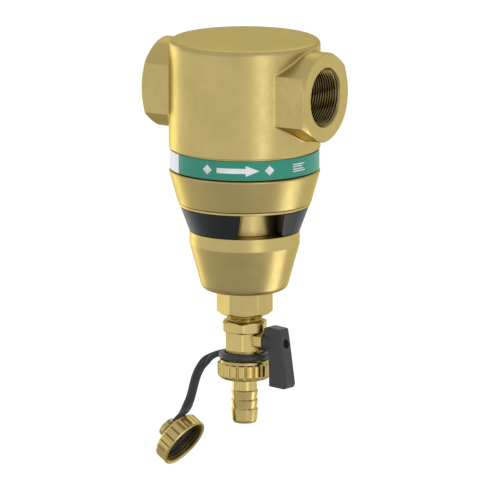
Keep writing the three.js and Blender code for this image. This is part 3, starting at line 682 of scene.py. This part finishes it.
def upper_housing():
    low, high = heights("upper_housing")
    box_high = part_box("upper_housing")[1]
    radius = box_high.y / MM
    half_span = box_high.x / MM
    band_low, band_high = heights("label_band")
    belt = radius_of("label_band") - 0.9
    bottom = band_high + 0.9
    crown = [(radius * share, high - TOP_CROWN * share**2, 0) for share in (0, 0.25, 0.5, 0.75)]
    outline = rounded([
        *crown,
        (radius, high - TOP_CROWN, 3.0),
        (radius, bottom, 0.5),
        (belt, bottom, 0.15),
        (belt, band_low - 0.4, 0.3),
        (SPIGOT_RADIUS, band_low - 0.4, 0.2),
        (SPIGOT_RADIUS, low, 0.8),
        (SPIGOT_BORE, low, 0.8),
        (SPIGOT_BORE, CHAMBER_FLOOR - 3, 1),
        (CHAMBER_RADIUS, CHAMBER_FLOOR, 2),
        (CHAMBER_RADIUS, CHAMBER_TOP, 5),
        (0, CHAMBER_TOP, 0),
    ], closed=False)
    body = turned(refined(outline, 3.0, closed=False), 192)
    hole = cylinder(PORT_HOLE, -BEYOND_PORTS, BEYOND_PORTS, 96, ALONG_X)
    drilled = combined(body, ("DIFFERENCE", hole))
    right = port_shell(radius, half_span)
    left = [row * np.array([-1, -1, 1]) for row in right]
    shells = [mesh_of_rows(rows, loop=True) for rows in (right, left)]
    whole = merged(drilled, *shells)
    add("housing_and_ports", whole, SATIN_BRASS, "housing", "satin_brass", "upper_housing")


# ---- label band

INK_THICKNESS = 0.04


def wrapped(name, outlines, radius, middle, material):
    """Flat outlines of (arc length, height) laid round the band as thin printed pads."""
    meshes = []
    for outline in outlines:
        flat = slab(outline, 0, INK_THICKNESS)
        work = bmesh.new()
        work.from_mesh(flat)
        bmesh.ops.triangulate(work, faces=work.faces)
        bmesh.ops.subdivide_edges(work, edges=work.edges, cuts=5, use_grid_fill=True)
        for vertex in work.verts:
            angle = vertex.co.x / radius
            reach = radius + vertex.co.z
            level = vertex.co.y + middle
            vertex.co = Vector((reach * math.sin(angle), -reach * math.cos(angle), level))
        work.to_mesh(flat)
        work.free()
        tidy(flat, 1e-5)
        meshes.append(flat)
    add(name, merged(*meshes), material, "housing", "label")


def flow_arrow(start, end, half_width, head):
    """A plain arrow from left to right."""
    neck = end - head
    return [
        (start, -half_width),
        (neck, -half_width),
        (neck, -2.1 * half_width),
        (end, 0),
        (neck, 2.1 * half_width),
        (neck, half_width),
        (start, half_width),
    ]


def diamond(centre, half):
    return [(centre - half, 0), (centre, -half), (centre + half, 0), (centre, half)]


def bar(start, end, level, half_width):
    return [
        (start, level - half_width),
        (end, level - half_width),
        (end, level + half_width),
        (start, level + half_width),
    ]


def label_band():
    low, high = heights("label_band")
    outer = radius_of("label_band")
    band = turned(ring_outline(outer - 0.6, outer, low, high, 0.1, 0.2), 192)
    add("label_film_band", band, LABEL_FILM, "housing", "label", "label_band")
    middle = (low + high) / 2
    marks = [diamond(0.5, 2.9), flow_arrow(6.5, 31.5, 1.5, 8.0), diamond(37.5, 2.9)]
    rows = ((9.5, 2.0), (7.5, 0.75), (8.5, -0.75), (10.0, -2.0))
    bars = [bar(53, 53 + length, level, 0.34) for length, level in rows]
    wrapped("label_marks", marks + bars, outer, middle, LABEL_INK)


# ---- cone and bowl


def cone_housing():
    low, high = heights("cone_housing")
    top = radius_of("cone_housing")
    foot, bore, seat, seat_level = 38.5, 34.3, 38.9, -57
    outline = rounded([
        (bore, low, 0.3),
        (foot, low, 0.35),
        (top, high - 0.7, 1.0),
        (top - 1.1, high, 0.5),
        (seat, high, 0.2),
        (seat, seat_level, 0.2),
        (bore, seat_level, 0.2),
    ])
    mesh = turned(refined(outline, 4), 192)
    add("cone_ring", mesh, SATIN_BRASS, "housing", "satin_brass", "cone_housing")


def sludge_bowl():
    low, high = heights("sludge_bowl")
    clip_low, clip_high = heights("clip_jaw_right")
    lip_low = clip_high + 0.3
    shelf = clip_low - 0.3
    lip_top = heights("cone_housing")[0] - 0.3
    lip = radius_of("sludge_bowl")
    belly, bore, neck, neck_bore, knee, inner_knee = 31.8, 28.5, 22.5, 19.5, -89.9, -89.8
    outline = rounded([
        (10.3, low, 0.3),
        (24.3, low, 5.0),
        (belly, knee, 2.0),
        (belly, shelf, 0.45),
        (26.2, shelf, 0.1),
        (26.0, shelf - 0.35, 0.1),
        (24.6, shelf - 0.35, 0.1),
        (24.4, shelf, 0.1),
        (neck, shelf, 0.8),
        (neck, lip_low, 0.8),
        (lip, lip_low, 0.4),
        (lip, lip_top, 0.45),
        (34.0, lip_top, 0.2),
        (34.0, high, 0.6),
        (31.0, high, 0.6),
        (neck_bore, lip_low + 1, 2),
        (neck_bore, shelf, 2),
        (bore, shelf - 3.3, 2),
        (bore, inner_knee, 2),
        (21.0, low + 4.5, 2),
        (10.3, low + 4, 0.3),
    ])
    mesh = turned(refined(outline, 4), 192)
    add("bowl_and_neck", mesh, SATIN_BRASS, "housing", "satin_brass", "sludge_bowl")


# ---- magnet clip

GAP_HALF = 13.1
CLIP_BACK = math.radians(168)
POCKET_FROM = math.radians(39.5)
POCKET_TO = math.radians(158)
CLIP_INNER = 22.9
CLIP_TOP_RADIUS = 37.3
CLIP_FOOT_RADIUS = 32.0
CLIP_CORNER = 2.2
JAW_EDGE = 0.35
BACK_RADIUS = 30.0
PIN_DISTANCE = 28.0
AT_PIN = IN_CLIP @ Matrix.Translation((-PIN_DISTANCE, 0, 0))


def at_angle(angle):
    return lambda radius: angle


def beside_gap(step):
    """Angles of a section a step away from the gap, whose sides are parallel."""

    def angle(radius):
        share = (radius - CLIP_INNER) / (CLIP_TOP_RADIUS - CLIP_INNER)
        return math.asin((GAP_HALF + step * (0.5 + 0.5 * share)) / radius)

    return angle


def arc_sweep(sections, side):
    """A shell from (angle for a radius, section) pairs, mirrored for the left-hand side."""
    rows = []
    for angle, section in sections:
        turned_to = [angle(r) for r, z in section]
        rows.append(np.array([
            (r * math.cos(a), side * r * math.sin(a), z) for a, (r, z) in zip(turned_to, section)
        ]))
    return mesh_of_rows(rows, place=IN_CLIP)


def jaw_section(low, high, pocket, floor, inset):
    """The jaw's section with its pocket open or shut and its lower edge raised to a floor."""

    def outer_at(level):
        share = (level - low) / (high - low)
        return CLIP_FOOT_RADIUS + (CLIP_TOP_RADIUS - CLIP_FOOT_RADIUS) * share

    depth = 6.5 if pocket else 0.0
    base = floor + inset
    face = CLIP_INNER + inset
    top, bottom = high - 1.8, max(low + 1.6, base + 0.5)
    arc_steps = 4
    outside = rounded([
        (outer_at(base) - inset, base, 0.7),
        (outer_at(high - inset) - inset, high - inset, 0.35),
        (face, high - inset, 0.3),
        (face, base, 0.3),
    ], steps=arc_steps)
    recess = [
        (face, top),
        (face + depth, top - 0.01),
        (face + depth, bottom + 0.01),
        (face, bottom),
    ]
    three_corners = 3 * (arc_steps + 1)
    return outside[:three_corners] + recess + outside[three_corners:]


def rounding(step, radius):
    """How far a rounded edge stands back at a distance from its end."""
    return radius - math.sqrt(radius**2 - max(radius - step, 0) ** 2)


def jaw_sections(low, high):
    sections = []
    for step in (0.0, 0.06, 0.15, 0.35, 0.7, 1.1, 1.6, CLIP_CORNER):
        floor = low + rounding(step, CLIP_CORNER)
        section = jaw_section(low, high, False, floor, rounding(step, JAW_EDGE))
        sections.append((beside_gap(step), section))
    plain = jaw_section(low, high, False, low, 0)
    hollow = jaw_section(low, high, True, low, 0)
    sections.append((at_angle(POCKET_FROM), plain))
    for angle in np.linspace(POCKET_FROM, POCKET_TO, 44):
        sections.append((at_angle(angle), hollow))
    sections.append((at_angle(POCKET_TO), plain))
    for step in (JAW_EDGE, 0.15, 0.06, 0.0):
        section = jaw_section(low, high, False, low, rounding(step, JAW_EDGE))
        sections.append((at_angle(CLIP_BACK - step / BACK_RADIUS), section))
    return sections


def hinge_knuckle(side, low, high):
    barrel = turned(ring_outline(1.5, 3.2, low, high, 0.15, 0.35), 48, place=AT_PIN)
    near, far = side * 2.2, side * 7.3
    web = slab([(-2.4, near), (2.4, near), (2.4, far), (-2.4, far)], low, high, AT_PIN)
    return merged(barrel, bevelled(web, 0.35))


def clip_jaw(name, side, body, levels):
    """A jaw with its hinge knuckles, and the cover over its magnets."""
    low, high = heights(f"clip_jaw_{name}")
    shell = arc_sweep(jaw_sections(low, high), side)
    tidy(shell)
    knuckles = [hinge_knuckle(side, a, b) for a, b in levels]
    jaw = merged(shell, *knuckles)
    add(f"magnet_jaw_{name}", jaw, CLIP_PLASTIC, body, "clip_plastic", f"clip_jaw_{name}")
    cover_low, cover_high = heights(f"clip_cover_{name}")
    section = ring_outline(CLIP_INNER, CLIP_INNER + 1.1, cover_low, cover_high, 0.2, 0.2)
    slack = math.radians(1)
    steps = np.linspace(POCKET_FROM + slack, POCKET_TO - slack, 44)
    cover = arc_sweep([(at_angle(a), section) for a in steps], side)
    add(f"magnet_cover_{name}", cover, CLIP_PLASTIC, body, "clip_plastic", f"clip_cover_{name}")


def magnet_clip():
    low, high = heights("clip_jaw_right")
    # the left jaw's one knuckle turns between the right jaw's two
    clip_jaw("right", 1, "clip_right", [(high - 4.2, high), (low, high - 8.6)])
    clip_jaw("left", -1, "clip_left", [(high - 8.3, high - 4.5)])
    pin_low, pin_high = heights("clip_hinge_pin")
    pin = turned(ring_outline(0, 1.25, pin_low, pin_high, 0, 0.3), 32, place=AT_PIN)
    add("hinge_pin", pin, STAINLESS, "clip_right", "stainless", "clip_hinge_pin")


# ---- drain adapter and valve

ADAPTER_FLATS = 28.4
ADAPTER_CORNER = math.radians(-90)
LOCK_FLATS = 24.4
BODY_FLATS = 20.5
BOSS_FLATS = 10.2
HALF_INCH_RADIUS = 10.4
HALF_INCH_ROOT = 9.25
HALF_INCH_PITCH = 1.814


def drain_adapter():
    low, high = heights("drain_adapter")
    top = heights("adapter_washer")[1]
    outline = rounded([
        (6.5, high, 0.3),
        (10, high, 0.5),
        (10, top - 1.6, 0.2),
        (13.1, top - 1.6, 0.2),
        (13.1, top, 0.2),
        (16.25, top, 0.25),
        (16.25, low + 1.4, 0.5),
        (14.2, low, 0.35),
        (10.8, low, 0.3),
        (10.8, low + 10, 0.3),
        (6.5, low + 10, 0.3),
    ])
    limit = hexagon(ADAPTER_FLATS, ADAPTER_CORNER, 0.3)
    mesh = turned(refined(outline, 1.2), 288, limit, 0.3)
    add("adapter_hexagon", mesh, SATIN_BRASS, "housing", "satin_brass", "drain_adapter")


def valve_inlet():
    low, high = heights("valve_inlet")
    thread_top, shoulder, floor = -127.4, -135.2, -138.9
    segments = 240
    top = rounded([(4.3, high, 0), (9.4, high, 0.4), (9.4, thread_top + 0.4, 0.3)], closed=False)
    rows = [round_row(r, z, segments) for r, z in top]
    rows += thread_rows(
        HALF_INCH_ROOT, HALF_INCH_RADIUS, HALF_INCH_PITCH, thread_top, shoulder + 0.5, segments
    )
    rows.append(round_row(9.0, shoulder + 0.35, segments))
    hexagonal = rounded([
        (9.0, shoulder, 0.15),
        (11.6, shoulder, 0.25),
        (13.5, shoulder - 1.1, 0.2),
        (13.5, low + 0.75, 0.3),
        (12.0, low, 0.25),
        (7.2, low, 0.2),
        (7.2, floor, 0.3),
        (4.3, floor, 0.2),
    ], closed=False)
    limit = hexagon(LOCK_FLATS, 0, 0.3)
    for r, z in refined(hexagonal, 0.8, closed=False):
        rows.append(round_row(r, z, segments, limit, 0.3))
    mesh = mesh_of_rows(rows, True, VALVE)
    add("valve_thread_and_lock", mesh, FITTING_BRASS, "housing", "fitting_brass", "valve_inlet")


def valve_body():
    low = heights("valve_body")[0]
    hex_top, hex_low, collar, seat = -142.1, -152.4, -158.0, -153.1
    outline = rounded([
        (7.2, hex_top, 0.2),
        (11.9, hex_top, 0.15),
        (11.9, hex_low + 0.2, 0.25),
        (11.3, hex_low, 0.2),
        (10.9, hex_low, 0.2),
        (10.9, collar, 0.2),
        (12.4, collar - 0.8, 0.2),
        (13.1, collar - 1.2, 0.2),
        (13.1, low + 0.8, 0.2),
        (12.2, low, 0.2),
        (4.3, low, 0.2),
        (4.3, seat, 0.2),
        (7.2, seat, 0.2),
    ])
    limit = hexagon(BODY_FLATS, 0, 0.22)
    rows = []
    for r, z in refined(outline, 1.2):
        held = limit if z > hex_low - 0.1 else None
        rows.append(round_row(r, z, 240, held, 0.22))
    hexagonal = mesh_of_rows(rows, loop=True, place=VALVE)
    boss_outline = rounded([
        (2.8, 7.6, 0),
        (7.2, 7.6, 0),
        (6.3, 10.5, 3),
        (5.9, 15.3, 0.25),
        (5.3, 15.8, 0.2),
        (2.8, 15.8, 0.2),
    ])
    boss_limit = hexagon(BOSS_FLATS, 0, 0.25)
    boss = turned(refined(boss_outline, 0.8), 192, boss_limit, 0.25, ON_STEM)
    above_body = cylinder(13.7, hex_top, hex_top + 12.1, 96)
    shaped = combined(boss, ("DIFFERENCE", above_body))
    mesh = merged(hexagonal, shaped)
    add("valve_hexagon", mesh, FITTING_BRASS, "housing", "fitting_brass", "valve_body")


# ---- lever handle


def lever_handle():
    low, high = heights("lever_handle")
    above, below = high - STEM_HEIGHT, low - STEM_HEIGHT
    half_width = 4.15
    outline = rounded([
        (16.9, above - 1.1, 0.6),
        (19.2, above, 1.4),
        (28.6, above - 0.6, 1.6),
        (30.1, 0.0, 6),
        (33.7, below + 2.6, 1.0),
        (32.6, below + 0.4, 1.2),
        (31.0, below, 0.6),
        (20.7, below + 0.6, 0.4),
        (20.3, -5.6, 0.9),
        (17.5, -4.4, 0.7),
    ], steps=4)
    upright = Matrix.Translation((0, 0, STEM_HEIGHT)) @ Matrix.Rotation(math.pi / 2, 4, "X")
    blade = slab(outline, -half_width, half_width)
    bevelled(blade, 0.55, 40)
    blade.transform(VALVE @ upright)
    hub = turned(rounded([
        (0, 16.1, 0),
        (6.1, 16.1, 0.3),
        (6.1, 17.0, 0.3),
        (4.0, 28.6, 0.2),
        (0, 28.6, 0),
    ], closed=False), 96, place=ON_STEM)
    counterbore = cylinder(2.6, 25.2, 40, 64, ON_STEM)
    mouth = cylinder(2.75, 14, 23.8, 48, ON_STEM)
    shaped = combined(blade, ("UNION", hub), ("DIFFERENCE", counterbore), ("DIFFERENCE", mouth))
    add("lever", shaped, HANDLE_PLASTIC, "lever", "handle_plastic", "lever_handle", sharp=30)
    screw = turned(rounded([
        (0, 18.5, 0),
        (1.1, 18.5, 0.2),
        (1.1, 25.5, 0.1),
        (2.3, 25.5, 0.2),
        (2.3, 27.0, 0.5),
        (1.0, 27.3, 0.1),
        (0.95, 26.2, 0.1),
        (0, 26.2, 0),
    ], closed=False), 48, place=ON_STEM)
    add("lever_screw", screw, ZINC_STEEL, "lever", "zinc_steel", "handle_screw")


# ---- outlet

NUT_RIBS = 20
NUT_TURN = math.radians(6)
TAIL_RIDGES = (-176.8, -182.2, -187.5)


def union_nut():
    low, high = heights("union_nut")
    outer = radius_of("union_nut")
    outline = rounded([
        (7.9, low, 0.3),
        (outer - 2.3, low, 1.2),
        (outer + 0.25, low + 2.6, 1.4),
        (outer + 0.25, high - 2.3, 0.6),
        (outer - 1.15, high - 1.5, 0.3),
        (outer - 1.7, high, 0.4),
        (13.4, high, 0.3),
        (13.4, low + 2.4, 0.3),
        (7.9, low + 2.4, 0.3),
    ])
    limit = ribs(NUT_RIBS, outer, 1.0, 0.3, NUT_TURN)
    mesh = turned(refined(outline, 1.0), 400, limit, 0.25)
    add("ribbed_nut", mesh, FITTING_BRASS, "nut", "fitting_brass", "union_nut")


def hose_tail():
    low, high = heights("hose_tail")
    ridges = []
    for level in TAIL_RIDGES:
        above = 7.15 if level == TAIL_RIDGES[0] else 7.0
        ridges += [(above, level + 0.8, 0.25), (7.75, level, 0.18)]
    outline = rounded([
        (5.0, high, 0.2),
        (12.6, high, 0.3),
        (12.6, high - 1.7, 0.3),
        (7.15, high - 1.7, 0.5),
        *ridges,
        (7.15, low + 1.6, 1.0),
        (6.3, low, 0.5),
        (5.0, low, 0.35),
    ])
    mesh = turned(refined(outline, 2.5), 128)
    add("barbed_tail", mesh, FITTING_BRASS, "housing", "fitting_brass", "hose_tail")


# ---- strap

STRAP_SIDE = -7.2
STRAP_WIDTH = 5.3
STRAP_THICKNESS = 3.1
GROOVE_HALF = 1.15
GROOVE_DEPTH = 0.95
STRAP_ROUTE = [
    (14.9, STRAP_SIDE, -156.6),
    (17.6, STRAP_SIDE, -157.5),
    (20.0, STRAP_SIDE, -158.8),
    (22.3, STRAP_SIDE, -160.7),
    (24.5, STRAP_SIDE, -163.1),
    (26.2, STRAP_SIDE, -165.8),
    (27.5, STRAP_SIDE, -168.6),
    (28.8, STRAP_SIDE, -172.4),
    (29.8, STRAP_SIDE, -176.8),
    (30.9, STRAP_SIDE, -181.5),
    (32.4, STRAP_SIDE, -186.0),
    (34.4, STRAP_SIDE, -190.2),
    (37.9, -7.9, -193.8),
    (39.8, -9.38, -197.34),
]


def smooth_path(points, per_span=8):
    """A cubic B-spline that starts and ends at the route's ends."""
    known = [Vector(p) for p in points]
    known = [known[0], known[0], *known, known[-1], known[-1]]
    path = []
    for a, b, c, d in zip(known, known[1:], known[2:], known[3:]):
        for k in range(per_span):
            t = k / per_span
            path.append((
                a * (1 - t) ** 3
                + b * (3 * t**3 - 6 * t**2 + 4)
                + c * (-3 * t**3 + 3 * t**2 + 3 * t + 1)
                + d * t**3
            ) / 6)
    path.append(known[-1])
    return path


def strap_section():
    """A flat band with a groove along the middle of both broad faces."""
    half_w, half_t = STRAP_WIDTH / 2, STRAP_THICKNESS / 2
    corners = []
    for way in (-1, 1):
        corners += [
            (way * half_w, way * half_t, 1.1),
            (way * GROOVE_HALF, way * half_t, 0.6),
            (0.0, way * (half_t - GROOVE_DEPTH), 0.5),
            (-way * GROOVE_HALF, way * half_t, 0.6),
            (-way * half_w, way * half_t, 1.1),
        ]
    return rounded(corners, steps=4)


def strap_row(point, along, thin):
    """The strap's section across its run, with its thickness towards a direction."""
    level = (thin - along * thin.dot(along)).normalized()
    wide = along.cross(level)
    return np.array([tuple(point + wide * x + level * y) for x, y in strap_section()])


def cap_strap():
    path = [IN_STRAP @ p for p in smooth_path(STRAP_ROUTE)]
    ring_up = Vector((0, 0, 1))
    towards_view = IN_STRAP @ Vector((0, 1, 0))
    stops = [(0.0, ring_up), (0.1, ring_up), (0.47, towards_view), (0.6, towards_view),
             (1.0, CAP_AXIS)]
    rows = []
    last = len(path) - 1
    for i, point in enumerate(path):
        along = (path[min(i + 1, last)] - path[max(i - 1, 0)]).normalized()
        share = i / last
        for (a, first), (b, second) in zip(stops, stops[1:]):
            if a <= share <= b:
                eased = 0.5 - 0.5 * math.cos(math.pi * (share - a) / (b - a))
                thin = first.lerp(second, eased)
        rows.append(strap_row(point, along, thin))
    strap = mesh_of_rows(rows)
    piece = add("retaining_strap", strap, STRAP_RUBBER, "strap", "strap_rubber", "cap_strap")
    return piece, path


def strap_ring():
    """The strap's ring round the valve, with the short tab that joins it to the strap."""
    low, high = heights("strap_ring")
    outer = radius_of("strap_ring")
    ring = turned(ring_outline(outer - (high - low), outer, low, high, 1.5, 1.5), 144)
    root = smooth_path(STRAP_ROUTE)[0]
    offsets = ((-3.4, 1.2, 0.95), (-1.6, 0.3, 0.6), (0.3, 0, -0.1))
    tab_path = [IN_STRAP @ (root + Vector(offset)) for offset in offsets]
    rows = []
    for i, point in enumerate(tab_path):
        along = (tab_path[min(i + 1, 2)] - tab_path[max(i - 1, 0)]).normalized()
        rows.append(strap_row(point, along, Vector((0, 0, 1))))
    mesh = merged(ring, mesh_of_rows(rows))
    add("strap_ring_loop", mesh, STRAP_RUBBER, "strap", "strap_rubber", "strap_ring")


# ---- cap

CAP_RADIUS = 15.6
CAP_DEPTH = 9.9
CAP_WALL = 2.2
CAP_THREAD = 12.7
CAP_THREAD_ROOT = 13.5
CAP_RIBS = 20
IN_CAP = Matrix.Translation(CAP_RIM) @ CAP_AXIS.to_track_quat("Z", "Y").to_matrix().to_4x4()


def blanking_cap():
    segments = 400
    limit = ribs(CAP_RIBS, CAP_RADIUS, 0.85, 0.2, math.radians(9))
    inside = CAP_DEPTH - CAP_WALL
    outside = rounded([
        (CAP_THREAD_ROOT, 1.1, 0.1),
        (CAP_RADIUS - 0.95, 0, 0.15),
        (CAP_RADIUS - 0.35, 0, 0.3),
        (CAP_RADIUS + 0.1, 0.7, 0.4),
        (CAP_RADIUS + 0.1, CAP_DEPTH - 1.8, 1.2),
        (CAP_RADIUS - 2.2, CAP_DEPTH, 1.0),
        (2.5, CAP_DEPTH, 0.2),
        (2.5, inside, 0.1),
        (CAP_THREAD_ROOT, inside, 0.2),
    ], closed=False)
    rows = []
    for r, z in refined(outside, 0.8, closed=False):
        held = limit if r > CAP_THREAD_ROOT + 0.5 and z > 0.9 else None
        rows.append(round_row(r, z, segments, held, 0.2))
    rows += thread_rows(
        CAP_THREAD, CAP_THREAD_ROOT, HALF_INCH_PITCH, inside - 0.4, 1.3, segments
    )
    cap = mesh_of_rows(rows, True, IN_CAP)
    add("ribbed_cap", cap, CAP_BRASS, "cap", "fitting_brass", "cap")
    seat = inside - 0.3
    gasket = turned(ring_outline(4.6, 12.4, seat - 1.6, seat, 0.3, 0.3), 96, place=IN_CAP)
    add("cap_seal", gasket, SEAL_RUBBER, "cap", "seal_rubber", "cap_gasket")


def notched(count, outer, depth, share):
    """Radius limit of a round head with square notches."""

    def limit(theta):
        place = np.mod(theta * count / TURN, 1)
        edge = np.clip((np.abs(place - 0.5) - share / 2) * 40 + 0.5, 0, 1)
        return outer - depth * (1 - edge)

    return limit


def cap_stud():
    """The stud in the cap's middle and the strap's loop that turns under its head."""
    head = 5.9
    start = CAP_DEPTH + 3.3
    top = start + 3.2
    inside = CAP_DEPTH - CAP_WALL - 0.3
    outline = rounded([
        (0, inside - 1.0, 0),
        (3.6, inside - 1.0, 0.3),
        (3.6, inside, 0.2),
        (2.2, inside, 0.2),
        (2.2, CAP_DEPTH + 0.3, 0.1),
        (3.4, CAP_DEPTH + 0.3, 0.2),
        (3.4, start, 0.3),
        (head, start, 0.25),
        (head, top, 0.6),
        (0, top, 0),
    ], closed=False)
    limit = notched(4, head, 1.2, 0.28)
    stud = turned(refined(outline, 0.8, closed=False), 192, limit, 0.15, IN_CAP)
    add("cap_button", stud, FITTING_BRASS, "cap", "fitting_brass", "cap_stud")
    middle = CAP_DEPTH + 1.85
    section = ring_outline(3.8, 6.8, middle - 1.3, middle + 1.3, 0.6, 0.9)
    loop = turned(section, 96, place=IN_CAP)
    add("strap_end", loop, STRAP_RUBBER, "strap", "strap_rubber", "strap_end_loop")


# ---- carried-over CAD nodes

MAGNETS = [f"clip_magnet_{side}_{index}" for side in ("right", "left") for index in (1, 2, 3)]
CARRIED = (
    (SEAL_RUBBER, ("housing_seal", "bowl_o_ring", "tail_gasket")),
    (STAINLESS, ("cage_top_plate", "cage_bottom_plate", "cage_rod", "cage_nut", "valve_ball")),
    (MESH_STEEL, ("coalescing_fins",)),
    (ZINC_STEEL, ("clip_yoke_right", "clip_yoke_left")),
    (FIBRE, ("adapter_washer",)),
    (FITTING_BRASS, ("valve_stem",)),
    (PTFE, ("ball_seat_upper", "ball_seat_lower", "stem_seal")),
    (MAGNET_NICKEL, MAGNETS),
)


def finish_carried_nodes():
    for material, nodes in CARRIED:
        for node in nodes:
            shown = frame["nodes"][node]
            shown.data.materials.clear()
            shown.data.materials.append(material)


# ---- stage and light

FLOOR_HEIGHT = -0.9


def make_floor():
    """A floor far below the object, with a painted shadow: grey under it and glowing white further
    out.
    """
    mesh = bpy.data.meshes.new("floor")
    reach = 40
    corners = [(-reach, -reach), (reach, -reach), (reach, reach), (-reach, reach)]
    mesh.from_pydata([(x, y, FLOOR_HEIGHT) for x, y in corners], [], [(0, 1, 2, 3)])
    look = Shader("pale_floor", (0.8, 0.8, 0.8), 0.0, 0.9, Emission_Color=(1, 1, 1, 1))
    away = look.vector_maths("LENGTH", "Value", look.place)
    # painted shadow: darker base colour and no glow near the centre, under the object
    for target, near, far in (("Base Color", 0.5, 0.85), ("Emission Strength", 0.0, 0.42)):
        links = {"Value": away, "From Min": 0.9, "From Max": 2.8, "To Min": near, "To Max": far}
        spread = look.node("ShaderNodeMapRange", links, interpolation_type="SMOOTHSTEP")
        look.set(target, spread.outputs["Result"])
    mesh.materials.append(look.material)
    floor = new_object("floor", mesh)


def softbox(name, azimuth, elevation, distance, width, height, radiance):
    """A soft light round the object; azimuth is measured from the camera's side, to the right."""
    away = direction(VIEW_AZIMUTH + math.radians(azimuth), math.radians(elevation))
    data = bpy.data.lights.new(name, "AREA")
    data.shape = "RECTANGLE"
    data.size = width
    data.size_y = height
    data.energy = radiance * math.pi * width * height
    light = new_object(name, data)
    light.location = Vector((0, 0, VIEW_HEIGHT)) + away * distance
    light.rotation_euler = (-away).to_track_quat("-Z", "Y").to_euler()
    light.visible_camera = False


def make_light():
    world = bpy.data.worlds.new("studio")
    bpy.context.scene.world = world
    world.use_nodes = True
    background = world.node_tree.nodes["Background"]
    background.inputs["Color"].default_value = (0.93, 0.96, 1.0, 1)
    background.inputs["Strength"].default_value = 0.82
    softbox("key", 27, -2, 2.2, 0.75, 3.0, 1.05)
    softbox("left_rim", -136, -16, 2.0, 0.9, 3.0, 1.6)
    softbox("right_low", 90, -40, 0.9, 0.40, 0.36, 2.9)
    softbox("top", 165, 46, 2.0, 1.6, 1.2, 0.6)
    bpy.context.scene.view_settings.view_transform = "Standard"


# ---- assembly

upper_housing()
label_band()
cone_housing()
sludge_bowl()
magnet_clip()
drain_adapter()
valve_inlet()
valve_body()
lever_handle()
union_nut()
hose_tail()
blanking_cap()
cap_stud()
strap_ring()
strap_piece, strap_path = cap_strap()
sum((b - a).length for a, b in zip(strap_path, strap_path[1:])) * MM
[tuple(p * MM) for p in strap_path]
finish_carried_nodes()
make_floor()
make_light()
